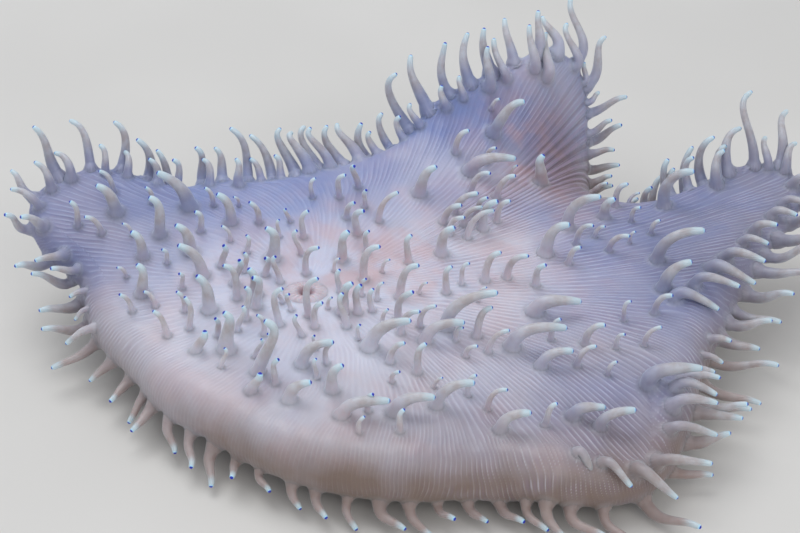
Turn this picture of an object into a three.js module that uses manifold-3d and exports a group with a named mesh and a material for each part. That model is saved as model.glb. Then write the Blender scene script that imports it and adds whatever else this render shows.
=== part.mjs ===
// A sea anemone at life size, lying open on the ground: a broad disc in three lobes, its edge rolled under
// along the near side, set with tapering tentacles and standing on a short column with a flat foot.
//
// Millimetres, +Z up. The origin is the middle of the flat underside of the foot. +X points to the long
// lobe on the right, -Y to the near side, where the edge of the disc is rolled under.
//
// The disc is one smooth membrane. Its edge is a closed curve through a few stations, and every point
// inside is the harmonic mean of that curve, as a soap film hangs in a bent wire. From the edge outwards
// the tissue goes on as a roll: an arc whose angle and radius are given at each station.
import * as THREE from 'three';
import { ParametricGeometry } from 'three/addons/geometries/ParametricGeometry.js';
import { mergeVertices } from 'three/addons/utils/BufferGeometryUtils.js';
import Module from 'manifold-3d';

const TAU = 2 * Math.PI;

// ---------------------------------------------------------------- driving dimensions

const CUT = 0.3; // width of the cuts that part one named piece from the next

const MOUTH = new THREE.Vector2(-38, -14);
const MOUTH_LENGTH = 17;
const MOUTH_WIDTH = 12;
const MOUTH_DEPTH = 5;

const DISC_THICKNESS = 13; // at the mouth
const EDGE_THICKNESS = 4.5; // at the edge of the disc and all along the roll
const ORAL_DISC_SHARE = 0.36; // share of the way from the mouth to the edge that the oral disc takes

const COLUMN_SHARE = 0.55; // share of that way at which the column meets the disc
const COLUMN_GAP = 0.8; // between the column and the disc it carries
const WAIST_RADIUS = 47;
const WAIST_HEIGHT = 11;
const FOOT_RADIUS = 58;
const FOOT_THICKNESS = 5;

const TENTACLE_LENGTH = 19; // of the common tentacle
const FRINGE_GIRTH = 2.5; // radius of a fringe tentacle at the root
const FRINGE_TIP = 1.1; // its radius just behind the tip
const FACE_GIRTH = 2.7; // radius of a tentacle on the disc at the root
const FACE_TIP = 1.6; // its radius just behind the tip
const TENTACLE_ROOT = 2.5; // how deep its root sits in the tissue
const ROOT_CLEARANCE = 3.4; // from the middle of a root to the nearest cut
const FRINGE_COUNT = 84;
const FRINGE_TURN = 105; // the fringe stands on the roll at most this far round (degrees)
const FLOOR_CLEARANCE = 0.8; // under the lowest tentacles

// The edge of the disc, clockwise seen from above. Each station gives where the edge runs, the angle
// through which the tissue rolls over beyond it, the radius of that roll, and of the tentacles that fringe
// it how steeply they rise above the level (angles in degrees), how far they lean to the right (as a share
// of how far they reach outward) and how long they are.
const STATIONS = [
  { name: 'right_tip', x: 168, y: 66, z: 47, curl: 15, roll: 12, rise: 33, sweep: 0.4, reach: 26 },
  { name: 'right_side_back', x: 149, y: 30, z: 44, curl: 45, roll: 14, rise: 20, sweep: 0.4, reach: 24 },
  { name: 'right_side_middle', x: 124, y: 0, z: 40, curl: 75, roll: 15, rise: 5, sweep: 0.5, reach: 23 },
  { name: 'right_side_low', x: 108, y: -38, z: 36, curl: 100, roll: 14, rise: 0, sweep: 0.6, reach: 22 },
  { name: 'corner_upper', x: 95, y: -74, z: 31, curl: 130, roll: 12, rise: -2, sweep: 0.8, reach: 21 },
  { name: 'corner', x: 94, y: -97, z: 22, curl: 125, roll: 9, rise: -4, sweep: 1.0, reach: 22 },
  { name: 'near_right', x: 66, y: -97, z: 29, curl: 155, roll: 12, rise: -30, sweep: 0.9, reach: 18 },
  { name: 'near_middle_right', x: 32, y: -96, z: 31, curl: 160, roll: 13, rise: -38, sweep: 1, reach: 16 },
  { name: 'near_middle', x: -6, y: -97, z: 32, curl: 160, roll: 13, rise: -38, sweep: 1, reach: 15 },
  { name: 'near_middle_left', x: -40, y: -87, z: 33, curl: 155, roll: 13, rise: -40, sweep: 0.9, reach: 15 },
  { name: 'near_left', x: -81, y: -56, z: 35, curl: 145, roll: 13, rise: -38, sweep: 0.6, reach: 16 },
  { name: 'left_low', x: -112, y: -18, z: 37, curl: 115, roll: 13, rise: -20, sweep: 0, reach: 18 },
  { name: 'left_side', x: -130, y: 13, z: 44, curl: 80, roll: 12, rise: 10, sweep: -0.3, reach: 20 },
  { name: 'left_tip', x: -149, y: 29, z: 53, curl: 45, roll: 10, rise: 40, sweep: -0.3, reach: 21 },
  { name: 'left_back', x: -133, y: 45, z: 58, curl: 30, roll: 10, rise: 58, sweep: -0.5, reach: 20 },
  { name: 'back_left', x: -89, y: 46, z: 53, curl: 30, roll: 10, rise: 58, sweep: -0.6, reach: 20 },
  { name: 'back_middle', x: -45, y: 53, z: 53, curl: 30, roll: 10, rise: 52, sweep: -0.5, reach: 20 },
  { name: 'back_right', x: -7, y: 69, z: 56, curl: 30, roll: 10, rise: 56, sweep: -0.2, reach: 21 },
  { name: 'upper_back', x: 32, y: 90, z: 72, curl: 30, roll: 10, rise: 68, sweep: 0.1, reach: 22 },
  { name: 'upper_tip', x: 74, y: 112, z: 73, curl: 30, roll: 10, rise: 60, sweep: 0.3, reach: 26 },
  { name: 'upper_side', x: 83, y: 110, z: 46, curl: 30, roll: 10, rise: 20, sweep: 0.3, reach: 19 },
  { name: 'notch_foot', x: 84, y: 84, z: 22, curl: 40, roll: 9, rise: 10, sweep: 0.3, reach: 17 },
  { name: 'notch', x: 90, y: 64, z: 22, curl: 40, roll: 6, rise: 20, sweep: 0.3, reach: 17 },
  { name: 'right_back_low', x: 110, y: 57, z: 35, curl: 20, roll: 10, rise: 55, sweep: 0.4, reach: 23 },
  { name: 'right_back', x: 134, y: 59, z: 47, curl: 15, roll: 12, rise: 60, sweep: 0.6, reach: 27 },
];

// The pieces round the oral disc, each from one station to another.
const LOBES = [
  { name: 'right_lobe', from: 'notch', to: 'corner_upper', colour: 0xcbb9cf },
  { name: 'near_right_fold', from: 'corner_upper', to: 'near_middle_right', colour: 0xd6bcc4 },
  { name: 'near_fold', from: 'near_middle_right', to: 'near_middle_left', colour: 0xd2bdc6 },
  { name: 'near_left_fold', from: 'near_middle_left', to: 'left_low', colour: 0xcdbcc9 },
  { name: 'left_lobe', from: 'left_low', to: 'back_left', colour: 0xbdb4d8 },
  { name: 'back_fold', from: 'back_left', to: 'back_right', colour: 0xb9b2d6 },
  { name: 'upper_lobe', from: 'back_right', to: 'notch', colour: 0xbfa9c6 },
];
const ORAL_DISC_COLOUR = 0xd8c3cd;
const MOUTH_COLOUR = 0xd99f9f;
const COLUMN_COLOUR = 0x9f8276;
const FOOT_COLOUR = 0x8c7468;

// Tentacles of the disc's face that stand out from the rest: the root (x, y), then how far the tip lies
// to the right of it and above it.
const FACE_TENTACLES = [
  // left lobe
  [-88, 32, -13, 18], [-99, 17, -4, 19], [-105, 6, -5, 13], [-86, 8, -6, 14], [-80, -5, -10, 16],
  [-104, -13, -2, 15], [-118, 28, -8, 14], [-70, 24, -6, 15],
  // near folds
  [-76, -24, -5, 18], [-68, -47, -1, 19], [-55, -60, 3, 26], [-80, -47, 3, 11], [-57, -70, 3, 10],
  [-38, -56, 13, 12], [-26, -70, 5, 13], [-42, -76, 9, 10], [-22, -84, 19, 8], [-2, -82, 16, 8],
  [14, -78, 15, 12], [38, -90, 12, 9], [66, -80, 13, 5], [76, -84, 14, 9],
  // round the mouth
  [-23, -26, 5, 15], [-12, -46, 17, 14], [10, -42, 16, 10], [18, -34, 21, 18], [-52, 4, -3, 16],
  [-24, 4, 4, 15], [17, 9, 6, 14], [-58, -16, -3, 14],
  // right lobe
  [55, -54, 13, 8], [44, -44, 22, 10], [54, -24, 19, 6], [70, 30, 14, 16], [60, 12, 10, 15],
  [86, 38, 5, 10], [106, 9, 19, 15], [107, -9, 11, 14], [97, -64, 20, 8], [112, 46, 12, 18],
  // upper lobe
  [30, 58, 20, 7], [60, 60, 2, 14], [40, 78, 14, 16], [8, 44, 8, 14],
];

// ---------------------------------------------------------------- the edge of the disc

const edgeCurve = new THREE.CatmullRomCurve3(
  STATIONS.map(({ x, y, z }) => new THREE.Vector3(x, y, z)), true, 'centripetal');
edgeCurve.arcLengthDivisions = 40 * STATIONS.length;

// A whole turn round the edge counts as 1, so a place on it is a share of a turn.
function withinTurn(share) {
  return share - Math.floor(share);
}

// The value of one of the stations' properties at a place on the edge.
function stationValue(property, u) {
  const place = edgeCurve.getUtoTmapping(withinTurn(u)) * STATIONS.length;
  const here = Math.floor(place) % STATIONS.length;
  const next = (here + 1) % STATIONS.length;
  const blend = THREE.MathUtils.smoothstep(place - Math.floor(place), 0, 1);
  return THREE.MathUtils.lerp(STATIONS[here][property], STATIONS[next][property], blend);
}

// The place of a station on the edge.
function stationPlace(name) {
  const lengths = edgeCurve.getLengths();
  const index = STATIONS.findIndex((station) => station.name === name);
  return lengths[40 * index] / lengths[lengths.length - 1];
}

// ---------------------------------------------------------------- the membrane inside the edge

const WAVES = 18; // how many waves of the edge's shape the membrane carries
const EDGE_SAMPLES = 400;

const waves = Array.from({ length: WAVES + 1 }, (_, wave) => {
  const cosine = new THREE.Vector3();
  const sine = new THREE.Vector3();
  const weight = (wave === 0 ? 1 : 2) / EDGE_SAMPLES;
  for (let k = 0; k < EDGE_SAMPLES; k += 1) {
    const point = edgeCurve.getPointAt(k / EDGE_SAMPLES);
    const angle = TAU * wave * k / EDGE_SAMPLES;
    cosine.addScaledVector(point, weight * Math.cos(angle));
    sine.addScaledVector(point, weight * Math.sin(angle));
  }
  return { cosine, sine };
});

// The membrane stretches a flat unit disc over the edge. This is where it carries one place of that disc:
// each wave of the edge's shape fades towards the middle.
function membrane(place) {
  const radius = place.length();
  const angle = Math.atan2(place.y, place.x);
  const point = new THREE.Vector3();
  waves.forEach(({ cosine, sine }, wave) => {
    point.addScaledVector(cosine, radius ** wave * Math.cos(wave * angle));
    point.addScaledVector(sine, radius ** wave * Math.sin(wave * angle));
  });
  return point;
}

// The membrane's point at a place, and how it moves as the place moves along x and along y.
function slopes(place) {
  const step = 1e-3;
  const here = membrane(place);
  const alongX = membrane(new THREE.Vector2(place.x + step, place.y)).sub(here).divideScalar(step);
  const alongY = membrane(new THREE.Vector2(place.x, place.y + step)).sub(here).divideScalar(step);
  return { here, alongX, alongY };
}

// The place that the membrane carries to (x, y), found by Newton's steps.
function placeOf(x, y) {
  const place = new THREE.Vector2(0, 0);
  const caution = 0.6;
  for (let round = 0; round < 40; round += 1) {
    const { here, alongX, alongY } = slopes(place);
    const area = alongX.x * alongY.y - alongX.y * alongY.x;
    const missX = x - here.x;
    const missY = y - here.y;
    place.x += caution * (missX * alongY.y - missY * alongY.x) / area;
    place.y += caution * (alongX.x * missY - alongX.y * missX) / area;
    place.clampLength(0, 0.97);
  }
  return place;
}

// Quotient of two complex numbers.
function divide(top, bottom) {
  const real = top.x * bottom.x + top.y * bottom.y;
  const imaginary = top.y * bottom.x - top.x * bottom.y;
  return new THREE.Vector2(real, imaginary).divideScalar(bottom.lengthSq());
}

const mouthPlace = placeOf(MOUTH.x, MOUTH.y);

// Moves the unit disc onto itself so that its middle goes to the mouth. Straight spokes become arcs that
// leave the mouth in every direction and meet the edge square on, as the ribs of the disc do.
function fromSpoke(spoke) {
  const top = spoke.clone().add(mouthPlace);
  const bottom = new THREE.Vector2(1 + mouthPlace.dot(spoke), mouthPlace.cross(spoke));
  return divide(top, bottom);
}

// The other way round: the spoke's point for a place in the unit disc.
function toSpoke(place) {
  const top = place.clone().sub(mouthPlace);
  const bottom = new THREE.Vector2(1 - mouthPlace.dot(place), -mouthPlace.cross(place));
  return divide(top, bottom);
}

// The place on the edge where the spoke ends that leaves the mouth at an angle.
function edgePlaceOf(angle) {
  const end = fromSpoke(new THREE.Vector2(Math.cos(angle), Math.sin(angle)));
  return withinTurn(Math.atan2(end.y, end.x) / TAU);
}

// ---------------------------------------------------------------- the upper surface and the tissue under it

// A point of the upper surface, its normal and the direction away from the mouth. u is the place on the
// edge to which the point's spoke runs. q is 0 at the mouth, 1 at the edge and 2 at the end of the roll.
function upperSurface(u, q) {
  const spoke = toSpoke(new THREE.Vector2(Math.cos(TAU * u), Math.sin(TAU * u)));
  const place = fromSpoke(spoke.multiplyScalar(Math.min(q, 1)));
  const { here, alongX, alongY } = slopes(place);
  const flatNormal = new THREE.Vector3().crossVectors(alongY, alongX).normalize();
  const round = alongY.multiplyScalar(place.x).addScaledVector(alongX, -place.y);
  const away = new THREE.Vector3().crossVectors(flatNormal, round).normalize();
  const roll = stationValue('roll', u);
  const turn = THREE.MathUtils.degToRad(stationValue('curl', u)) * Math.max(q - 1, 0);
  const point = here
    .addScaledVector(away, roll * Math.sin(turn))
    .addScaledVector(flatNormal, roll * (Math.cos(turn) - 1));
  const normal = flatNormal.clone().multiplyScalar(Math.cos(turn)).addScaledVector(away, Math.sin(turn));
  const outward = away.clone().multiplyScalar(Math.cos(turn)).addScaledVector(flatNormal, -Math.sin(turn));
  return { point, normal, outward };
}

// Millimetres of surface for each unit of u, and for each unit of q.
function stretchAlongEdge(u, q) {
  const step = 1e-4;
  return upperSurface(u + step, q).point.distanceTo(upperSurface(u - step, q).point) / (2 * step);
}

function stretchAlongSpoke(u, q) {
  const step = 1e-3;
  return upperSurface(u, q + step).point.distanceTo(upperSurface(u, q - step).point) / (2 * step);
}

// A tight roll has thinner tissue, so that it never folds into itself.
function edgeThickness(u) {
  return Math.min(EDGE_THICKNESS, 0.55 * stationValue('roll', u));
}

function tissueThickness(u, q) {
  const inside = Math.max(1 - q, 0) ** 0.8;
  return THREE.MathUtils.lerp(edgeThickness(u), DISC_THICKNESS, inside);
}

function below(u, q, depth) {
  const { point, normal } = upperSurface(u, q);
  return point.addScaledVector(normal, -depth);
}

// The rounded end of the roll, halfway between the upper side and the underside.
function rollEnd(u) {
  const { point, normal, outward } = upperSurface(u, 2);
  const half = edgeThickness(u) / 2;
  return point.addScaledVector(normal, -half).addScaledVector(outward, 0.8 * half);
}

// ---------------------------------------------------------------- closed solids

const wasm = await Module();
wasm.setup();

// Turns a closed geometry into a solid. Triangles that shrink to nothing at a pole are dropped.
function toSolid(geometry) {
  geometry.deleteAttribute('normal');
  geometry.deleteAttribute('uv');
  const merged = mergeVertices(geometry, 1e-4);
  const corners = merged.index.array;
  const kept = [];
  for (let k = 0; k < corners.length; k += 3) {
    const [a, b, c] = corners.slice(k, k + 3);
    if (a !== b && b !== c && c !== a) kept.push(a, b, c);
  }
  return new wasm.Manifold(new wasm.Mesh({
    numProp: 3,
    vertProperties: Float32Array.from(merged.attributes.position.array),
    triVerts: Uint32Array.from(kept),
  }));
}

function toGeometry(solid) {
  const { vertProperties, triVerts } = solid.getMesh();
  const geometry = new THREE.BufferGeometry();
  geometry.setAttribute('position', new THREE.BufferAttribute(vertProperties, 3));
  geometry.setIndex(new THREE.BufferAttribute(triVerts, 1));
  geometry.computeVertexNormals();
  return geometry;
}

// A closed form of revolution, of a sort: section(share, row) gives its points at each share of a turn,
// and the first and last rows are single points.
function sweep(section, around, rows) {
  const place = (share, v, target) => target.copy(section(withinTurn(share), Math.round(v * (rows - 1))));
  return toSolid(new ParametricGeometry(place, around, rows - 1));
}

// ---------------------------------------------------------------- the pieces of the disc

const DISC_AROUND = 68; // columns of faces round the whole edge
const ORAL_DISC_AROUND = 30;
const LOBE_ROWS = [0.6, 0.82, 1, 1.35, 1.7, 2];

// A lobe is a curved slab between two spokes. Half a cut is left free on each side of it.
function lobeSolid({ from, to }) {
  const start = stationPlace(from);
  const span = withinTurn(stationPlace(to) - start);
  const columns = Math.round(span * DISC_AROUND);
  const positions = [];
  for (let column = 0; column <= columns; column += 1) {
    const middle = start + span * column / columns;
    const side = Math.sign((column === 0) - (column === columns));
    const innermost = ORAL_DISC_SHARE + CUT / stretchAlongSpoke(middle, ORAL_DISC_SHARE);
    const upper = [];
    const under = [];
    for (const q of [innermost, ...LOBE_ROWS]) {
      const u = middle + side * CUT / 2 / stretchAlongEdge(middle, q);
      upper.push(below(u, q, 0));
      under.unshift(below(u, q, tissueThickness(u, q)));
    }
    const section = [...upper, rollEnd(middle + side * CUT / 2 / stretchAlongEdge(middle, 2)), ...under];
    section.forEach((point) => positions.push(...point));
  }
  const ring = 2 * LOBE_ROWS.length + 3; // points of one section
  const faces = [];
  const quad = (a, b, c, d) => faces.push(a, b, c, a, c, d);
  for (let column = 0; column < columns; column += 1) {
    for (let k = 0; k < ring; k += 1) {
      const next = (k + 1) % ring;
      quad(column * ring + k, (column + 1) * ring + k, (column + 1) * ring + next, column * ring + next);
    }
  }
  const last = columns * ring;
  for (let k = 0; k < LOBE_ROWS.length; k += 1) {
    const [opposite, beyond] = [ring - 1 - k, ring - 2 - k];
    quad(k, k + 1, beyond, opposite);
    quad(last + k, last + opposite, last + beyond, last + k + 1);
  }
  const tip = LOBE_ROWS.length;
  faces.push(tip, tip + 1, tip + 2);
  faces.push(last + tip, last + tip + 2, last + tip + 1);
  const geometry = new THREE.BufferGeometry();
  geometry.setAttribute('position', new THREE.Float32BufferAttribute(positions, 3));
  geometry.setIndex(faces);
  return toSolid(geometry);
}

// The oral disc: the middle of the disc, which holds the mouth.
function oralDiscSolid() {
  const shares = [0, 0.5 * ORAL_DISC_SHARE, ORAL_DISC_SHARE];
  const section = (share, row) => {
    const u = edgePlaceOf(TAU * share);
    if (row < shares.length) return below(u, shares[row], 0);
    const q = shares[2 * shares.length - 1 - row];
    return below(u, q, tissueThickness(u, q));
  };
  return sweep(section, ORAL_DISC_AROUND, 2 * shares.length);
}

// ---------------------------------------------------------------- the mouth

// Radius (as a share of the mouth's) and height of the lips and of the gullet's opening between them.
const LIP_PROFILE = [
  [0, -MOUTH_DEPTH], [1, -MOUTH_DEPTH], [1, -1], [0.9, 0.3], [0.66, 1.3], [0.42, 0.8], [0.12, -2.6], [0, -3.4],
];

// An oval body turned from a profile, sunk into the disc at the mouth. Grown, it makes its own socket.
function mouthBody(profile, growth) {
  const points = profile.map(([radius, height]) => new THREE.Vector2(radius, height));
  const { point, normal } = upperSurface(0, 0);
  const lean = new THREE.Quaternion().setFromUnitVectors(new THREE.Vector3(0, 0, 1), normal);
  const geometry = new THREE.LatheGeometry(points, 18)
    .rotateX(Math.PI / 2)
    .scale(MOUTH_LENGTH / 2 + growth, MOUTH_WIDTH / 2 + growth, 1)
    .applyQuaternion(lean)
    .translate(point.x, point.y, point.z);
  return toSolid(geometry);
}

function socketBody() {
  const floor = -MOUTH_DEPTH - CUT;
  return mouthBody([[0, floor], [1, floor], [1, MOUTH_DEPTH], [0, MOUTH_DEPTH]], CUT);
}

// ---------------------------------------------------------------- the column and its foot

const COLUMN_AROUND = 30;
const COLUMN_ROWS = 7; // rows of a section that belong to the column, from its middle out and down

// From the middle of the column's top out to its shoulder close under the disc, in to the waist and out
// again to the foot, whose outline is softly lobed.
function columnSection(share) {
  const u = edgePlaceOf(TAU * share);
  const top = (q) => below(u, q, tissueThickness(u, q) + COLUMN_GAP);
  const shoulder = top(COLUMN_SHARE);
  const bearing = Math.atan2(shoulder.y, shoulder.x);
  const lobed = 1 + 0.05 * Math.cos(2 * bearing - 0.6) + 0.03 * Math.sin(3 * bearing);
  const ring = (radius, height) => new THREE.Vector3(
    lobed * radius * Math.cos(bearing), lobed * radius * Math.sin(bearing), height);
  const wall = new THREE.QuadraticBezierCurve3(
    shoulder, ring(WAIST_RADIUS, 0.6 * shoulder.z), ring(WAIST_RADIUS, WAIST_HEIGHT));
  return [
    top(0),
    top(COLUMN_SHARE / 2),
    ...[0, 0.35, 0.7, 1].map((along) => wall.getPoint(along)),
    ring(FOOT_RADIUS - 2, FOOT_THICKNESS + CUT),
    ring(FOOT_RADIUS - 1.5, FOOT_THICKNESS),
    ring(FOOT_RADIUS, 0.4 * FOOT_THICKNESS),
    ring(FOOT_RADIUS - 1, 0),
    new THREE.Vector3(0, 0, 0),
  ];
}

function columnSolid() {
  const bottom = new THREE.Vector3(0, 0, FOOT_THICKNESS + CUT);
  const section = (share, row) => (row < COLUMN_ROWS ? columnSection(share)[row] : bottom);
  return sweep(section, COLUMN_AROUND, COLUMN_ROWS + 1);
}

function footSolid() {
  const top = new THREE.Vector3(0, 0, FOOT_THICKNESS);
  const section = (share, row) => (row === 0 ? top : columnSection(share)[COLUMN_ROWS + row - 1]);
  return sweep(section, COLUMN_AROUND, 5);
}

// ---------------------------------------------------------------- tentacles

const TENTACLE_SIDES = 4;
const TENTACLE_RINGS = [0, 0.5, 0.94]; // shares of its length

// A tapering tentacle: it leaves the tissue along one direction and bends over to its tip.
function tentacleSolid({ root, direction, tip, girth, tipRadius }) {
  const length = root.distanceTo(tip);
  const fullness = Math.min(1, 0.55 + 0.45 * length / TENTACLE_LENGTH);
  const start = root.clone().addScaledVector(direction, -TENTACLE_ROOT);
  const bend = root.clone().addScaledVector(direction, 0.55 * length);
  const axis = new THREE.QuadraticBezierCurve3(start, bend, tip);
  const side = new THREE.Vector3().crossVectors(bend.clone().sub(start), tip.clone().sub(start));
  if (side.length() < 1e-3) side.set(direction.y, -direction.x, 0.1);
  side.normalize();
  const section = (share, row) => {
    if (row === 0) return start;
    if (row > TENTACLE_RINGS.length) return tip;
    const along = TENTACLE_RINGS[row - 1];
    const across = new THREE.Vector3().crossVectors(axis.getTangent(along), side);
    const radius = fullness * THREE.MathUtils.lerp(1.15 * girth, tipRadius, along ** 0.8);
    return axis.getPoint(along)
      .addScaledVector(side, radius * Math.cos(TAU * share))
      .addScaledVector(across, radius * Math.sin(TAU * share));
  };
  return sweep(section, TENTACLE_SIDES, TENTACLE_RINGS.length + 2);
}

// Even but unordered numbers between -0.5 and 0.5, for small differences from one tentacle to the next.
function wobble(index, kind) {
  return withinTurn((index + 1) * 0.618034 + (kind + 1) * (index + 3) * 0.414214) - 0.5;
}

// The level direction square to the edge and away from the disc.
function awayFromEdge(u) {
  const along = edgeCurve.getTangentAt(withinTurn(u));
  return new THREE.Vector3(-along.y, along.x, 0).normalize();
}

// One tentacle of the fringe. A shift moves it along the edge, in units of the spacing.
function fringeTentacle(index, shift) {
  const u = (index + 0.5 + 0.3 * wobble(index, 0) + shift) / FRINGE_COUNT;
  const q = 1 + Math.min(1, FRINGE_TURN / stationValue('curl', u));
  const { point, normal, outward } = upperSurface(u, q);
  const level = awayFromEdge(u);
  level.x += stationValue('sweep', u) + 0.7 * wobble(index, 3);
  level.normalize();
  const rise = THREE.MathUtils.degToRad(stationValue('rise', u) + 32 * wobble(index, 1));
  const length = stationValue('reach', u) * (1 + 0.55 * wobble(index, 2));
  const tip = point.clone().addScaledVector(level, length * Math.cos(rise));
  tip.z += length * Math.sin(rise);
  tip.z = Math.max(tip.z, FLOOR_CLEARANCE + FRINGE_TIP);
  const direction = normal.add(outward).normalize();
  return { u, q, root: point, direction, tip, girth: FRINGE_GIRTH, tipRadius: FRINGE_TIP };
}

function faceTentacle([x, y, right, above]) {
  const spoke = toSpoke(placeOf(x, y));
  const u = edgePlaceOf(Math.atan2(spoke.y, spoke.x));
  const q = spoke.length();
  const { point, normal } = upperSurface(u, q);
  const tip = point.clone().add(new THREE.Vector3(right, 0, above));
  return { u, q, root: point, direction: normal, tip, girth: FACE_GIRTH, tipRadius: FACE_TIP };
}

// The name of the piece that a tentacle stands on, or nothing where its root would reach a cut.
function pieceUnder({ u, q }) {
  const fromOralDisc = Math.abs(q - ORAL_DISC_SHARE) * stretchAlongSpoke(u, ORAL_DISC_SHARE);
  if (fromOralDisc < ROOT_CLEARANCE) return undefined;
  if (q < ORAL_DISC_SHARE) return 'oral_disc';
  const toNearestCut = Math.min(...LOBES.map(({ from }) => {
    const apart = withinTurn(u - stationPlace(from));
    return Math.min(apart, 1 - apart) * stretchAlongEdge(u, q);
  }));
  if (toNearestCut < ROOT_CLEARANCE) return undefined;
  const holds = ({ from, to }) =>
    withinTurn(u - stationPlace(from)) < withinTurn(stationPlace(to) - stationPlace(from));
  return LOBES.find(holds).name;
}

const SHIFTS = [0, 0.25, -0.25, 0.45]; // tried in turn, until a fringe tentacle stands clear of the cuts

const tentacles = FACE_TENTACLES.map(faceTentacle);
for (let index = 0; index < FRINGE_COUNT; index += 1) {
  tentacles.push(SHIFTS.map((shift) => fringeTentacle(index, shift)).find(pieceUnder));
}

// ---------------------------------------------------------------- the whole animal

const pieces = [
  { name: 'mouth', solid: mouthBody(LIP_PROFILE, 0), colour: MOUTH_COLOUR },
  { name: 'oral_disc', solid: oralDiscSolid().subtract(socketBody()), colour: ORAL_DISC_COLOUR },
  ...LOBES.map((lobe) => ({ name: lobe.name, solid: lobeSolid(lobe), colour: lobe.colour })),
  { name: 'column', solid: columnSolid(), colour: COLUMN_COLOUR },
  { name: 'foot', solid: footSolid(), colour: FOOT_COLOUR },
];

for (const tentacle of tentacles) {
  const piece = pieces.find(({ name }) => name === pieceUnder(tentacle));
  piece.solid = piece.solid.add(tentacleSolid(tentacle));
}

const group = new THREE.Group();
for (const { name, solid, colour } of pieces) {
  const material = new THREE.MeshStandardMaterial({ color: colour, roughness: 0.42, metalness: 0 });
  const mesh = new THREE.Mesh(toGeometry(solid), material);
  mesh.name = name;
  group.add(mesh);
}

export default group;
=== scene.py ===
# %% [markdown]
# # A life-size sea anemone
# A sea anemone is a soft, hollow animal: a broad disc with the mouth in its middle, tentacles all over the
# disc, and under it a short column that ends in a flat foot. This lesson dresses the plain solids of such an
# animal, so that they look like the moist, finely ribbed, half translucent tissue of the real one.
#
# The solids are loaded first. They stay where they are, and each new piece takes the place of some of them.

# %% Load the solids
import math

import bpy
import numpy as np
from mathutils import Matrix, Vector
from mathutils.bvhtree import BVHTree


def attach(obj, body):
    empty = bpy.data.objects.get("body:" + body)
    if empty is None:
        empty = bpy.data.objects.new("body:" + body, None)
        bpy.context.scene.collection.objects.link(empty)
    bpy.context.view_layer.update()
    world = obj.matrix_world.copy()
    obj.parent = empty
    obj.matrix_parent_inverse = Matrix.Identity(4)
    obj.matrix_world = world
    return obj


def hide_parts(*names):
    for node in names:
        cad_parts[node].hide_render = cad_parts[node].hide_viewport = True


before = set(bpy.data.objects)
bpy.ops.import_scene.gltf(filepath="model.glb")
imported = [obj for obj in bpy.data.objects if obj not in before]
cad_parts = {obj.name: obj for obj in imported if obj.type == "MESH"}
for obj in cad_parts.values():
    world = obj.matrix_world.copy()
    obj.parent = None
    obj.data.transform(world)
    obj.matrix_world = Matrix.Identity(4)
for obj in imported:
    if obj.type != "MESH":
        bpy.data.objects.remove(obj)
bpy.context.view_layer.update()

# %% [markdown]
# ## The edge of the disc
# The whole animal follows from one closed line: the edge of its disc, which rises and falls in three lobes.
# It could be drawn as a Bezier curve object, but here the line is only a means to an end, so it is kept as
# numbers: a few stations in millimetres, clockwise seen from above, joined by a smooth spline. Each station
# also says how far the tissue rolls over beyond the edge (degrees), the radius of that roll, and of the
# tentacles that fringe it how steeply they rise (degrees), how far they lean to the right and how long
# they are.

# %% Stations of the edge
MM = 0.001  # the tables below are in millimetres, and Blender's lengths are in metres
TAU = 2 * math.pi

STATION_KEYS = ("x", "y", "z", "curl", "roll", "rise", "sweep", "reach")
STATIONS = {
    "right_tip": (168, 66, 47, 15, 12, 33, 0.4, 26),
    "right_side_back": (149, 30, 44, 45, 14, 20, 0.4, 24),
    "right_side_middle": (124, 0, 40, 75, 15, 5, 0.5, 23),
    "right_side_low": (108, -38, 36, 100, 14, 0, 0.6, 22),
    "corner_upper": (95, -74, 31, 130, 12, -2, 0.8, 21),
    "corner": (94, -97, 22, 125, 9, -4, 1.0, 22),
    "near_right": (66, -97, 29, 155, 12, -30, 0.9, 18),
    "near_middle_right": (32, -96, 31, 160, 13, -38, 1, 16),
    "near_middle": (-6, -97, 32, 160, 13, -38, 1, 15),
    "near_middle_left": (-40, -87, 33, 155, 13, -40, 0.9, 15),
    "near_left": (-81, -56, 35, 145, 13, -38, 0.6, 16),
    "left_low": (-112, -18, 37, 115, 13, -20, 0, 18),
    "left_side": (-130, 13, 44, 80, 12, 10, -0.3, 20),
    "left_tip": (-149, 29, 53, 45, 10, 40, -0.3, 21),
    "left_back": (-133, 45, 58, 30, 10, 58, -0.5, 20),
    "back_left": (-89, 46, 53, 30, 10, 58, -0.6, 20),
    "back_middle": (-45, 53, 53, 30, 10, 52, -0.5, 20),
    "back_right": (-7, 69, 56, 30, 10, 56, -0.2, 21),
    "upper_back": (32, 90, 72, 30, 10, 68, 0.1, 22),
    "upper_tip": (74, 112, 73, 30, 10, 60, 0.3, 26),
    "upper_side": (83, 110, 46, 30, 10, 20, 0.3, 19),
    "notch_foot": (84, 84, 22, 40, 9, 10, 0.3, 17),
    "notch": (90, 64, 22, 40, 6, 20, 0.3, 17),
    "right_back_low": (110, 57, 35, 20, 10, 55, 0.4, 23),
    "right_back": (134, 59, 47, 15, 12, 60, 0.6, 27),
}
station_table = np.array(list(STATIONS.values()), float)
station_count = len(STATIONS)
print(station_count, "stations")

# %% The spline through the stations
STEPS_PER_STATION = 40  # for measuring lengths along the edge


def eased(share):
    """A share from 0 to 1 that starts and ends gently."""
    return share * share * (3 - 2 * share)


def station_value(key, u):
    """A property of the edge at u, the share of the way round: 0 and 1 are both at the first station."""
    column = station_table[:, STATION_KEYS.index(key)]
    place = edge_parameter(u) * station_count
    here = np.floor(place).astype(int) % station_count
    blend = eased(place - np.floor(place))
    return column[here] * (1 - blend) + column[(here + 1) % station_count] * blend


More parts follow.
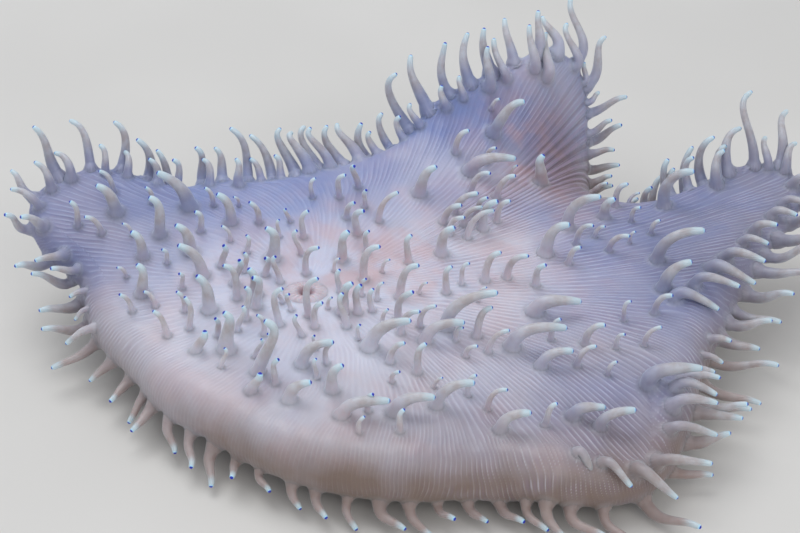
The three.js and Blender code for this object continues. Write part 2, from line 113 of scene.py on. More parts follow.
def edge_point(t):
    """A centripetal spline through the stations, for t from 0 to 1."""
    place = (np.asarray(t, float) % 1) * station_count
    here = np.floor(place).astype(int) % station_count
    w = (place - np.floor(place))[..., None]
    before, start, end, after = (station_table[(here + k) % station_count, :3] for k in (-1, 0, 1, 2))

    def knot(a, b):
        return np.sum((a - b) ** 2, -1)[..., None] ** 0.25

    d0, d1, d2 = knot(before, start), knot(start, end), knot(end, after)
    leave = ((start - before) / d0 - (end - before) / (d0 + d1) + (end - start) / d1) * d1
    arrive = ((end - start) / d1 - (after - start) / (d1 + d2) + (after - end) / d2) * d1
    return (start + leave * w + (3 * (end - start) - 2 * leave - arrive) * w ** 2
            + (2 * (start - end) + leave + arrive) * w ** 3)


def lengths_along(points):
    """The way from the first point to each of them."""
    return np.concatenate([[0], np.cumsum(np.linalg.norm(np.diff(points, axis=0), axis=1))])


edge_steps = np.linspace(0, 1, STEPS_PER_STATION * station_count + 1)
edge_lengths = lengths_along(edge_point(edge_steps))


def edge_parameter(u):
    """The spline's own parameter at a share u of the edge's length."""
    return np.interp((np.asarray(u, float) % 1) * edge_lengths[-1], edge_lengths, edge_steps)


def station_place(name):
    return edge_lengths[STEPS_PER_STATION * list(STATIONS).index(name)] / edge_lengths[-1]


print("the edge is", round(edge_lengths[-1]), "mm long")

# %% [markdown]
# ## The membrane
# Inside its edge the disc hangs like a soap film in a bent wire. A cloth simulation could find that shape,
# but there is an exact way: a film's height at any point is the mean of its surroundings, and for a round
# disc that means splitting the edge's shape into waves, and letting each wave fade towards the middle.
# The mouth isn't in the middle of the film, so a Mobius map (a map that keeps a disc a disc and every small
# angle what it is) slides it there. Lines of equal angle round the mouth are then the spokes that the ribs
# of the real disc follow.

# %% The membrane in waves
WAVES = 18
EDGE_SAMPLES = 400
MOUTH = np.array([-38.0, -14.0])

edge_samples = edge_point(edge_parameter(np.arange(EDGE_SAMPLES) / EDGE_SAMPLES))
turns = TAU * np.arange(EDGE_SAMPLES) / EDGE_SAMPLES
wave_terms = []
for wave in range(WAVES + 1):
    weight = (1 if wave == 0 else 2) / EDGE_SAMPLES
    wave_terms.append(weight * (edge_samples * np.exp(-1j * wave * turns)[:, None]).sum(0))


def membrane(place):
    """Points of the film for places in the unit disc (complex numbers), and their slopes along x and y."""
    point = np.zeros(place.shape + (3,), complex)
    slope = np.zeros(place.shape + (3,), complex)
    for term in reversed(wave_terms):
        slope = slope * place[..., None] + point
        point = point * place[..., None] + term
    return point.real, slope.real, (1j * slope).real


def membrane_place(spot, start, share, tries):
    """Steps through the unit disc until the film stands over a spot on the floor."""
    place = start
    for _ in range(tries):
        here, along_x, along_y = membrane(np.array(place))
        step = np.linalg.solve(np.column_stack([along_x[:2], along_y[:2]]), spot - here[:2])
        place += share * complex(*step)
    return place


mouth_place = membrane_place(MOUTH, 0j, 0.7, 40)


def from_spoke(spoke):
    return (mouth_place + spoke) / (1 + np.conj(mouth_place) * spoke)


def to_spoke(place):
    return (place - mouth_place) / (1 - np.conj(mouth_place) * place)


print("the mouth sits at", np.round(membrane(np.array(mouth_place))[0], 1), "mm")

# %% [markdown]
# ## The outer skin
# Beyond the edge the tissue rolls over, as the near side of the animal does, and at the end of the roll it
# turns round a thin hem to the underside. A skin point has two coordinates: u, the share of the way round the
# edge at which its spoke ends, and q, which is 0 at the mouth, 1 at the edge, 2 at the end of the roll and 3
# where the underside begins. The same two numbers later place the ribs and the tentacles.
#
# Along the back of the right lobe, where the edge turns sharply out of the notch, a true film would double
# back on itself just inside the edge. Living tissue is too thick for that and runs straight across, so
# there the last tenth of the film is replaced by straight lines.

# %% Directions, shares and thickness
DISC_THICKNESS = 13
EDGE_THICKNESS = 4.5
EDGE_TO_ROLL = 0.55  # the edge is thinner than this share of the roll's radius
NUDGE = 1e-4  # a small share of the way round, for finding directions


def unit(vectors):
    return vectors / np.maximum(np.linalg.norm(vectors, axis=-1, keepdims=True), 1e-12)


def between(value, start, end):
    """0 up to start, 1 from end on, and even in between. Start may be the higher one."""
    return np.clip((value - start) / (end - start), 0, 1)


def turned(normal, outward, angle):
    return normal * np.cos(angle) + outward * np.sin(angle), outward * np.cos(angle) - normal * np.sin(angle)


def tissue_thickness(u, q):
    edge = np.minimum(EDGE_THICKNESS, EDGE_TO_ROLL * station_value("roll", u))
    return edge + (DISC_THICKNESS - edge) * np.maximum(1 - q, 0) ** 0.8


print("thickest", DISC_THICKNESS, "mm at the mouth, thinnest", tissue_thickness(0.9, 1.0).round(1), "mm")

# %% The film and its straight part
STRAIGHT_FROM = 0.9  # the q from which the film is straightened, where it is
STRAIGHT_MIDDLE = 0.938  # the u in the middle of that stretch
STRAIGHT_FADE = 0.035  # how long its ends take to fade
STRAIGHT_CORE = 0.9  # and how far it is fully straight to either side of the middle, in fades


def film(u, q):
    """Point of the membrane, its normal, and its direction round the edge."""
    place = from_spoke(to_spoke(np.exp(1j * TAU * u)) * q)
    point, along_x, along_y = membrane(place)
    around = along_y * place.real[..., None] - along_x * place.imag[..., None]
    return point, unit(np.cross(along_y, along_x)), around


def round_trip(difference):
    """A difference between two places on the edge, the short way round."""
    return (difference + 0.5) % 1 - 0.5


def straightening(u):
    """1 along the back of the right lobe, where a film would double back on itself next to its edge."""
    share = np.clip(1 + STRAIGHT_CORE - np.abs(round_trip(u - STRAIGHT_MIDDLE)) / STRAIGHT_FADE, 0, 1)
    return eased(share)[..., None]


def straighten(u, q, point, normal):
    """Replaces the outer part of the film by straight lines that run to the edge."""
    inner, edge = film(u, STRAIGHT_FROM)[0], film(u, 1.0)[0]
    inner_way, edge_way = film(u + NUDGE, STRAIGHT_FROM)[0] - inner, film(u + NUDGE, 1.0)[0] - edge
    t = ((np.minimum(q, 1) - STRAIGHT_FROM) / (1 - STRAIGHT_FROM))[..., None]
    share = straightening(u) * np.clip(t * 8, 0, 1)
    straight_normal = unit(np.cross(inner_way * (1 - t) + edge_way * t, edge - inner))
    point = point + (inner + (edge - inner) * t - point) * straightening(u)
    return point, unit(normal + (straight_normal - normal) * share)


print("straightened along", round(2 * STRAIGHT_CORE * STRAIGHT_FADE * edge_lengths[-1]), "mm of the edge")

# %% The skin over film, roll and hem
HEM_BULGE = 0.8  # how far the hem stands out, in halves of its thickness


def outer_skin(u, q):
    """Point, normal and outward direction of the skin, in millimetres."""
    u, q = np.broadcast_arrays(np.asarray(u, float), np.asarray(q, float))
    point, normal, around = film(u, np.minimum(q, 1))
    bent = (straightening(u)[..., 0] > 0) & (q > STRAIGHT_FROM)
    if bent.any():
        point[bent], normal[bent] = straighten(u[bent], q[bent], point[bent], normal[bent])
    outward = unit(np.cross(normal, around))
    roll = station_value("roll", u)[..., None]
    turn = np.radians(station_value("curl", u) * between(q, 1, 2))[..., None]
    point = point + outward * roll * np.sin(turn) + normal * roll * (np.cos(turn) - 1)
    normal, outward = turned(normal, outward, turn)
    half = tissue_thickness(u, 2.0)[..., None] / 2
    turn = math.pi * between(q, 2, 3)[..., None]
    point = point + outward * HEM_BULGE * half * np.sin(turn) + normal * half * (np.cos(turn) - 1)
    return point, *turned(normal, outward, turn)


print("where the roll ends on the near side:", outer_skin(station_place("near_middle"), 2)[0].round(1), "mm")

# %% From a place to the skin's coordinates
def edge_place(angle):
    """The u at which the spoke ends that leaves the mouth at an angle."""
    return (np.angle(from_spoke(np.exp(1j * angle))) / TAU) % 1


def place_of(x, y):
    """(u, q) of the skin above a spot on the floor."""
    spoke = to_spoke(membrane_place(np.array([x, y]), mouth_place, 0.6, 60))
    return float(edge_place(np.angle(spoke))), abs(spoke)


print("over the floor's origin, u and q are", np.round(place_of(0, 0), 3))

# %% [markdown]
# ## Helpers that make meshes
# Every piece here is made of closed rings of points. Building it with bpy.ops would be slow, so points and
# faces are handed over in one go, smooth shaded, with named numbers on the points (attributes) that the
# materials read later, such as how near a tentacle's tip a point lies. Neighbouring rings may have different
# numbers of points: then each step of the coarse ring gets one face with several corners on the fine ring.

# %% Mesh helpers


def quads_of(ids):
    """The four corners of each face between neighbouring closed rings of points."""
    a, b = ids[:-1], ids[1:]
    return np.stack([a, np.roll(a, -1, 1), np.roll(b, -1, 1), b], -1).reshape(-1, 4).tolist()


class Body:
    """Rings of points being joined to one closed mesh, from a first pole to a last one."""

    def __init__(self, *facts):
        self.points, self.faces, self.count, self.last = [], [], 0, None
        self.facts = {fact: [] for fact in facts}

    def put(self, points, facts):
        points = np.atleast_2d(points)
        self.points.append(points.reshape(-1, 3))
        for key, values in self.facts.items():
            values.append(np.broadcast_to(facts.get(key, 0.0), points.shape[:-1]).ravel())
        ids = self.count + np.arange(len(self.points[-1]))
        self.count += len(ids)
        return ids.reshape(points.shape[:-1])

    def rings(self, points, **facts):
        """Adds rows of rings and joins them to the ring or pole before them."""
        ids = self.put(points, facts)
        if self.last is not None:
            self.join(self.last, ids[0])
        self.faces += quads_of(ids)
        self.last = ids[-1]

    def pole(self, point, **facts):
        """A single point, which begins the body or closes it."""
        ids = self.put(point, facts)
        if self.last is None:
            self.last = ids
        else:
            self.join(self.last, ids)
            self.last = None

    def join(self, first, second):
        steps = min(len(ring) for ring in (first, second) if len(ring) > 1)
        m, n = len(first) // steps, len(second) // steps
        a, b = np.append(first, first[0]), np.append(second, second[0])
        for k in range(steps):
            side_a = a[k * m:(k + 1) * m + 1] if m else first
            side_b = b[k * n:(k + 1) * n + 1] if n else second
            self.faces.append([*side_a.tolist(), *side_b[::-1].tolist()])

    def piece(self, name, material, slot, *nodes):
        mesh = bpy.data.meshes.new(name)
        mesh.from_pydata((np.concatenate(self.points) * MM).tolist(), [], self.faces)
        mesh.shade_smooth()
        for key, values in self.facts.items():
            layer = mesh.attributes.new(key, "FLOAT", "POINT")
            layer.data.foreach_set("value", np.concatenate(values).astype(np.float32))
        mesh.materials.append(material)
        made = bpy.data.objects.new(name, mesh)
        bpy.context.scene.collection.objects.link(made)
        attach(made, "root")
        if nodes:
            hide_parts(*nodes)
        triangles = sum(len(face) - 2 for face in self.faces)
        print(name, "has", len(mesh.vertices), "points and", triangles, "triangles")
        return made


# %% Unordered but steady numbers
def soft_noise(*coordinates):
    """Smooth, unordered numbers between about -1 and 1 from any coordinates: a few crossing waves."""
    total = 0.0
    for k in range(5):
        phase = 1.3 * k * k + 0.7
        for j, coordinate in enumerate(coordinates):
            phase = phase + coordinate * (0.7 + 0.55 * ((k * 7 + j * 3) % 5)) * (1 if (k + j) % 2 else -1)
        total = total + np.sin(phase)
    return total / 3


def wobble(index, kind):
    """A number between -0.5 and 0.5 for a tentacle's index, and for what it varies."""
    return ((index + 1) * 0.618034 + (kind + 1) * (index + 3) * 0.414214) % 1 - 0.5


print("soft noise here and there:", np.round(soft_noise(np.arange(4)), 2))

# %% [markdown]
# ## Where the tentacles stand
# Tentacles fringe the edge, in two rows, and stand all over the disc. Scattering them with a particle system
# would be quick, but it wouldn't let the big ones stand exactly where they do on the solids. So they are
# listed: the fringe by a loop, the tall ones on the disc one by one, and the many small ones by the golden
# angle, the even spiral of a sunflower's seeds, with small steady differences instead of random numbers.

# %% Sizes of the tentacles
TENTACLE_LENGTH = 19
FRINGE_GIRTH = 2.5  # radius at the root
FRINGE_TIP = 1.1  # radius just behind the tip
FACE_GIRTH = 2.8
FACE_TIP = 1.45
FLOOR_CLEARANCE = 0.8


def drift(x):
    """How far the tips lean to the right with a slow current, for each millimetre of length."""
    return min(max((x + 50) / 260, -0.22), 0.3)


print("leaning by", round(drift(-150), 2), "on the left lobe and", round(drift(150), 2), "on the right one")

# %% One tentacle of the fringe
FRINGE_COUNT = 84
FRINGE_TURN = 105  # where the tissue rolls over further than this (degrees), the fringe stays above it
FRINGE_Q = 2.15  # elsewhere it grows from the hem
RISE_SPREAD = 32  # degrees between the steepest and the flattest neighbours
LENGTH_SPREAD = 0.55
SWEEP_SPREAD = 0.7
ROOT_CLEARANCE = 3.4
CUTS = ("notch", "corner_upper", "near_middle_right", "near_middle_left", "left_low", "back_left",
        "back_right")


def away_from_edge(u):
    along = edge_point(edge_parameter(u + NUDGE)) - edge_point(edge_parameter(u - NUDGE))
    return unit(np.array([-along[1], along[0], 0.0]))


def clear_of_cuts(u, q):
    apart = min(abs(round_trip(u - station_place(name))) for name in CUTS)
    stretch = np.linalg.norm(outer_skin(u + NUDGE, q)[0] - outer_skin(u - NUDGE, q)[0]) / (2 * NUDGE)
    return apart * stretch >= ROOT_CLEARANCE


def fringe_tentacle(index, shift, share_of_length=1.0, share_of_turn=1.0, extra_sweep=0.0):
    u = (index + 0.5 + 0.3 * wobble(index, 0) + shift) / FRINGE_COUNT
    curl = float(station_value("curl", u))
    q = 1 + share_of_turn * min(1, FRINGE_TURN / curl)
    point = outer_skin(u, q)[0]
    rise = math.radians(station_value("rise", u) + RISE_SPREAD * wobble(index, 1))
    length = station_value("reach", u) * (1 + LENGTH_SPREAD * wobble(index, 2)) * share_of_length
    to_right = station_value("sweep", u) + SWEEP_SPREAD * wobble(index, 3) + 0.9 * extra_sweep
    level = away_from_edge(u) + np.array([to_right, 0, 0])
    tip = point + unit(level) * length * math.cos(rise) + np.array([0, 0, length * math.sin(rise)])
    tip[2] = max(tip[2], FLOOR_CLEARANCE + FRINGE_TIP)
    under = curl > FRINGE_TURN and share_of_turn == 1
    if share_of_turn == 1:
        q = 1 + (FRINGE_TURN + 0.45 * (curl - FRINGE_TURN)) / curl if under else FRINGE_Q
    hook = (0.9 + 0.8 * wobble(index, 9)) * min(max((95 - tip[2]) / 10, 0.3), 1) * (1 - 0.7 * extra_sweep)
    hook = 0.25 if under else hook
    return {"u": u, "q": q, "tip": tip, "index": index, "hook": hook, "taper": 1.0,
            "full_girth": FRINGE_GIRTH, "full_tip": FRINGE_TIP}


print(FRINGE_COUNT, "tentacles in the first row, so", round(edge_lengths[-1] / FRINGE_COUNT, 1), "mm apart")

# %% The two rows of the fringe
CORNER_REACH = 0.045  # the share of the edge, to each side of the corner, where the fringe is thickest
SECOND_ROW_CURL = 118  # no second row where the tissue rolls over further than this


def corner_closeness(u):
    return max(0, 1 - abs(round_trip(u - station_place("corner"))) / CORNER_REACH)


fringe = []
for index in range(FRINGE_COUNT):
    tries = (fringe_tentacle(index, shift) for shift in (0, 0.25, -0.25, 0.45))
    fringe.append(next(t for t in tries if clear_of_cuts(t["u"], min(t["q"], 2))))
for index in range(FRINGE_COUNT):
    corner = corner_closeness((index + 1) / FRINGE_COUNT)
    if station_value("curl", (index + 1) / FRINGE_COUNT) < SECOND_ROW_CURL or corner > 0:
        share = 0.66 + 0.4 * wobble(index, 5) + 0.3 * corner
        turn_share = 0.3 + 0.7 * wobble(index, 7)
        shift = 0.5 + 0.4 * wobble(index, 6)
        fringe.append(fringe_tentacle(index + FRINGE_COUNT, shift, share, turn_share, corner))
print(len(fringe), "tentacles in the fringe")

# %% The tall ones on the disc
# Root (x, y), then how far the tip lies to the right of it and above it, in millimetres.
FACE_TENTACLES = [
    # left lobe
    (-88, 32, -13, 18), (-99, 17, -4, 19), (-105, 6, -5, 13), (-86, 8, -6, 14), (-80, -5, -10, 16),
    (-104, -13, -2, 15), (-118, 28, -8, 14), (-70, 24, -6, 15),
    # near folds
    (-76, -24, -5, 18), (-68, -47, -1, 19), (-55, -60, 3, 26), (-80, -47, 3, 11), (-57, -70, 3, 10),
    (-38, -56, 13, 12), (-26, -70, 5, 13), (-42, -76, 9, 10), (-22, -84, 19, 8), (-2, -82, 16, 8),
    (14, -78, 15, 12), (38, -90, 12, 9), (66, -80, 13, 5), (76, -84, 14, 9),
    # round the mouth
    (-23, -26, 5, 15), (-12, -46, 17, 14), (10, -42, 16, 10), (18, -34, 21, 18), (-52, 4, -3, 16),
    (-24, 4, 4, 15), (17, 9, 6, 14), (-58, -16, -3, 14),
    # right lobe
    (55, -54, 13, 8), (44, -44, 22, 10), (54, -24, 19, 6), (70, 30, 14, 16), (60, 12, 10, 15),
    (86, 38, 5, 10), (106, 9, 19, 15), (107, -9, 11, 14), (97, -64, 20, 8), (112, 46, 12, 18),
    # upper lobe
    (30, 58, 20, 7), (60, 60, 2, 14), (40, 78, 14, 16), (8, 44, 8, 14),
]


def face_tentacle(index, u, q, right, above, away=0.0):
    tip = outer_skin(u, q)[0] + np.array([right, away, above])
    hook = 0.9 + 0.9 * wobble(index, 9) + 0.4 * (tip[0] > 20)
    return {"u": u, "q": q, "tip": tip, "index": index, "hook": hook, "taper": 1.25,
            "full_girth": FACE_GIRTH, "full_tip": FACE_TIP}


tall = [face_tentacle(index, *place_of(x, y), right, above)
        for index, (x, y, right, above) in enumerate(FACE_TENTACLES)]
print(len(tall), "tall tentacles on the disc")

# %% The small ones, by the golden angle
SMALL_TRIES = 560
SMALL_GIRTH = 1.8
SMALL_LENGTH = 10
SMALL_SPACING = 10
FIRST_SMALL_INDEX = 500  # so that they differ from the others
LIP_RADII = (12, 9)
GOLDEN_ANGLE = math.pi * (3 - math.sqrt(5))


def patch(points, centre, radii):
    """Seen from above: 1 at the centre and fading round it."""
    x, y = points[..., 0], points[..., 1]
    return np.exp(-(((x - centre[0]) / radii[0]) ** 2 + ((y - centre[1]) / radii[1]) ** 2))


small = []
taken = [outer_skin(t["u"], t["q"])[0] for t in fringe + tall]
for index in range(SMALL_TRIES):
    q = 0.97 * math.sqrt((index + 0.5) / SMALL_TRIES)
    u = float(edge_place(index * GOLDEN_ANGLE + 0.7 * wobble(index, 0)))
    point, normal, _ = outer_skin(u, q)
    if np.hypot(*((point[:2] - MOUTH) / LIP_RADII)) < 1:
        continue  # the lips are bare
    near_mouth = patch(point, MOUTH + (12, -12), (62, 38))
    saddle = patch(point, (22, 28), (44, 24))  # between mouth and upper lobe
    spacing = SMALL_SPACING - max(4.8 * near_mouth, 2.8 * saddle)
    if min(np.linalg.norm(np.array(taken) - point, axis=1)) < spacing:
        continue
    longer = 8 * near_mouth if wobble(index, 4) > 0 else 0
    length = SMALL_LENGTH + 7 * wobble(index, 1) + longer + 5 * saddle
    lean = np.array([2.4 * drift(point[0]) + 0.8 * wobble(index, 2), 0.6 * wobble(index, 3), 0.75])
    aim = unit(0.4 * normal + lean)
    small.append(face_tentacle(index + FIRST_SMALL_INDEX, u, q, *(length * aim)[[0, 2, 1]]))
    small[-1]["full_girth"] = SMALL_GIRTH
    taken.append(point)
print(len(small), "small tentacles on the disc")

# %% [markdown]
# ## Tentacle bodies
# A tentacle is a hollow, water-filled finger. At its foot the skin draws up in a wide soft cone, without any
# seam; above it the finger tapers, bends over and ends in a round tip. Curve objects with a taper could make
# the finger but not the foot. So each tentacle gets an axis, and how wide it is at each place along the axis
# is written down first, because the skin of the disc has to rise with it by the same rule.

# %% Measures of each tentacle
RAYS = 16  # fine ribs that run up each foot
RAY_DEPTH = 0.3
SKIN_SHARE = 0.38  # how far up a foot the skin of the disc rises, before the finger takes over
FOOT_FALL = 0.34  # how gently a foot runs out, in radii of the finger
FOOT_STEPS = np.array([3.4, 2.7, 2.1, 1.6, 1.15, 0.8, 0.45, 0.15])  # rings of a foot, in its own falls
TIP_INSET = 0.6  # so that no bend leads a tip out of the box of the solids


def measure(tentacle):
    """Adds the root, its directions, and the sizes of finger and foot."""
    u, q, index = tentacle["u"], tentacle["q"], tentacle["index"]
    root, normal, _ = outer_skin(u, q)
    side = unit(outer_skin(u + NUDGE, q)[0] - outer_skin(u - NUDGE, q)[0])
    tentacle["tip"] = tentacle["tip"] - TIP_INSET * unit(tentacle["tip"] - root)
    length = np.linalg.norm(tentacle["tip"] - root)
    size = min(1, 0.42 + 0.58 * length / TENTACLE_LENGTH)
    girth = tentacle["full_girth"] * size * (1 + 0.3 * wobble(index, 8)) * min(1, 0.45 + length / 20)
    tentacle.update(
        root=root, normal=normal, side=side, across=np.cross(normal, side), length=length, girth=girth,
        tip_radius=min(tentacle["full_tip"] * (0.72 + 0.3 * size), 0.66 * girth),
        foot_height=min(1.3 * girth, 0.3 * length), foot_fall=FOOT_FALL * girth,
        foot_reach=(1 + FOOT_FALL * FOOT_STEPS[0]) * girth)
    return tentacle


def foot_height(tentacle, distance):
    """How high the foot of a tentacle stands at a distance from its axis."""
    beyond = np.maximum(distance - tentacle["girth"], 0) / tentacle["foot_fall"]
    return tentacle["foot_height"] * np.exp(-beyond)


def foot_closeness(steps):
    """1 on a foot and 0 where it has run out, for distances from the finger in its own falls."""
    return np.clip(1.3 - steps / FOOT_STEPS[0], 0, 1)


tentacles = [measure(t) for t in fringe + tall + small]
print("fingers from", round(min(t["length"] for t in tentacles), 1), "to",
      round(max(t["length"] for t in tentacles), 1), "mm long")

# %% [markdown]
# ## The skin's relief
# Close to, the disc is never smooth. Fine pale ribs run out from the mouth about two millimetres apart, and
# new ones start between them wherever the spokes spread. Soft waves lift the margin, and round each
# tentacle the ribs turn towards it and climb its foot. A bump map could fake all that, but the outline and
# the light on the ribs are better where the points themselves move, so it is a height over a fine grid.

# %% Heights of the ribs
RIB_SPACING = 1.9
COARSE_RIBS = 72  # round the mouth
RIB_HEIGHT = 0.15
RIB_SHARPNESS = 1.9  # higher is a narrower rib in a wider groove
FORK_SPREAD = 0.22  # how unevenly new ribs begin
RIB_BEND = 0.0003  # how far a rib wanders, as a share of the way round


def ribs(u, q, stretch):
    """Height of the ribs, 0 in a groove and 1 on a rib. Where they spread, each second one is a new one."""
    level = np.log2(np.maximum(stretch / (RIB_SPACING * COARSE_RIBS), 1))
    level = level + FORK_SPREAD * soft_noise(u * 150, q * 4)
    whole = np.clip(np.floor(level), 0, 5)
    blend = np.clip((level - whole - 0.35) / 0.3, 0, 1)
    bend = RIB_BEND * soft_noise(u * 55, q * 7)
    turn = TAU * COARSE_RIBS * 2 ** whole * (u + bend)
    wave = (1 - blend) * np.cos(turn) + blend * np.cos(2 * turn)
    return np.clip(0.5 + 0.5 * wave, 0, 1) ** RIB_SHARPNESS


print(COARSE_RIBS, "ribs at the mouth, doubled outwards so that they stay about", RIB_SPACING, "mm apart")

# %% Where the skin is cooler, warmer, paler and darker, partly as painted light and shade


def lilac_and_blue_light_places(points):
    """Where the skin's own lavender is tinted further by painted bluish light from above and the left: along
    the back and left, on the two long lobes and in spots between them.
    """
    x, y = points[..., 0], points[..., 1]
    back = between(y - 0.1 * x, -12, 43) * between(x, 51.5, -38.5)
    left = 0.8 * between(x, -72, -112) * between(y, -30, -5)
    upper = between(y, 40, 82)
    right = between(x, 38, 103) * between(y, -75, -15)
    # painted bluish sheen on the fold at the near right corner
    corner = 0.85 * patch(points, (82, -74), (40, 34))
    crossing = 0.7 * patch(points, (60, 40), (24, 20))
    return np.max([back, left, upper, right, corner, crossing], axis=0)


def warm_places(points):
    """Where pink and orange tissue shows: round the mouth and towards the right and the notch."""
    near_mouth, notch = patch(points, (-12, 2), (62, 36)), patch(points, (66, 72), (30, 30))
    return np.clip(0.6 * near_mouth + 0.8 * notch, 0, 1)


def highlight_places(points):
    """Where the skin is painted paler, as a painted highlight: the middle of the disc, and the tall lobe's
    upper end.
    """
    return patch(points, (-30, -25), (70, 50)) + 0.8 * patch(points, (62, 110), (26, 16))


def flank_shade_places(points):
    """Where it is deeply pleated and darkened with painted brownish shade: the flank over the notch."""
    return patch(points, (74, 74), (20, 27))


def colour_facts(points):
    return {"cool": lilac_and_blue_light_places(points), "warm": warm_places(points), "pale": highlight_places(points),
            "flank_shade": flank_shade_places(points)}


print("at the mouth:", {key: round(float(value), 2) for key, value in colour_facts(MOUTH).items()})

# %% How strong the ribs are
def rib_strength(points):
    """The ribs are plain to the right, softer on the left and upper lobes, and faint on thick tissue."""
    x, y = points[..., 0], points[..., 1]
    upper, left = between(y, 40, 75), between(x, -75, -105)
    right = between(x, -25, 45) * (1 - 0.7 * upper)
    return 0.42 + 0.68 * np.maximum(right, 0.6 * left)


# %% Broad relief, under ribs and feet alike
WAVE_COUNT = 96
WAVE_HEIGHT = 0.14
HOLLOW_SIZE = (13, 13, 11)
HOLLOW_DEPTH = 0.33


def broad_relief(u, q, point):
    """Waves of the margin and soft hollows, as a height over the smooth skin."""
    margin = between(q, 0.45, 1.05) ** 1.5
    wave = np.sin(TAU * WAVE_COUNT * u + 2.2 * soft_noise(u * 60, q * 3)) * margin
    hollows = soft_noise(*np.moveaxis(point / HOLLOW_SIZE, -1, 0)) * np.clip(0.35 + 0.65 * q, 0, 1)
    return (WAVE_HEIGHT * wave + HOLLOW_DEPTH * hollows) * between(q, 3, 2) ** 0.5


# %% How the ribs turn over the fold
TURN_LENGTH = 24  # on the roll a rib has turned square to the edge after about this far


def turn_over_fold(u, q):
    """The ribs reach the edge at a slant. This share of a turn lets them keep it and lose it slowly; with
    it comes how square to the edge they then run."""
    edge, inside, beside = (outer_skin(u + du, at)[0] for du, at in ((0, 1.0), (0, 0.98), (NUDGE, 1.0)))
    along = unit(beside - edge)
    slant = np.sum((edge - inside) * along, -1)
    outward = np.linalg.norm(edge - inside - slant[..., None] * along, axis=-1)
    slope = np.clip(slant / outward, -1.6, 1.6)
    per_mm = slope * NUDGE / np.linalg.norm(beside - edge, axis=-1)
    beyond = np.linalg.norm(outer_skin(u, 1.05)[0] - edge, axis=-1) / 0.05 * np.clip(q - 1, 0, 1.3)
    fading = np.exp(-beyond / TURN_LENGTH)
    return per_mm * TURN_LENGTH * (1 - fading), 1 / np.sqrt(1 + (slope * fading) ** 2)


# %% The tentacles' feet on a grid of skin
BLOCK_REACH = 5  # as far as a tentacle changes the skin round it, in its own radii
GATHER = 0.4  # how strongly ribs are drawn towards a tentacle
GATHER_REACH = 2.4  # and how far round it, in its own radii


def grid_steps(point):
    """The grid's steps round the edge and along the spokes, and how square they are to each other."""
    round_edge, along_spoke = point - np.roll(point, 1, 1), np.gradient(point, axis=0)
    squareness = np.linalg.norm(np.cross(unit(round_edge), unit(along_spoke)), axis=-1)
    return np.linalg.norm(round_edge, axis=-1), np.linalg.norm(along_spoke, axis=-1), squareness


def grid_round(tentacle, q_values, steps):
    """Rows and columns of the part of the grid that a tentacle changes."""
    row_step, spoke_step, squareness = steps
    rows, spokes = row_step.shape
    row = np.abs(q_values - tentacle["q"]).argmin()
    column = int(round(tentacle["u"] * spokes)) % spokes
    reach = BLOCK_REACH * tentacle["girth"] / max(squareness[row, column], 0.2)
    wide = min(int(reach / max(row_step[row, column], 0.02)) + 2, spokes // 2 - 1)
    deep = int(reach / max(spoke_step[row, column], 0.2)) + 2
    return np.ix_(np.arange(max(row - deep, 0), min(row + deep + 1, rows)),
                  np.arange(column - wide, column + wide + 1) % spokes)


def feet_on_grid(q_values, u_grid, point, steps):
    """Height of the feet, how near one is, the rays on it, and u as the ribs see it, gathered round feet."""
    foot, near_foot, ray, rib_u = 0 * u_grid, 0 * u_grid, 0 * u_grid, u_grid.copy()
    for tentacle in tentacles:
        if not q_values[0] - 0.12 < tentacle["q"] < q_values[-1] + 0.12:
            continue
        girth, block = tentacle["girth"], grid_round(tentacle, q_values, steps)
        offset = point[block] - tentacle["root"]
        distance = np.linalg.norm(offset, axis=-1)
        height = np.minimum(foot_height(tentacle, distance), SKIN_SHARE * tentacle["foot_height"])
        closeness = foot_closeness((distance - girth) / tentacle["foot_fall"])
        angle = np.arctan2(offset @ tentacle["across"], offset @ tentacle["side"])
        nearer = closeness > near_foot[block]
        ray[block] = np.where(nearer, 0.5 + RAY_DEPTH * np.cos(RAYS * angle), ray[block])
        near_foot[block] = np.maximum(near_foot[block], closeness)
        foot[block] = np.maximum(foot[block], height)
        gather = np.exp(-(distance / (GATHER_REACH * girth)) ** 2)
        rib_u[block] += GATHER * gather * round_trip(u_grid[block] - tentacle["u"])
    return foot, eased(near_foot), ray, rib_u


# %% A block of skin with its relief
FLANK_MIDDLE = 0.862  # the u of the pleated flank over the notch
FLANK_WIDTH = 0.05
PLEATS = 150  # if they went all the way round
PLEAT_HEIGHT = 0.2
GULLET_RADII = (8.5, 6)
GULLET_DEPTH = 5.6


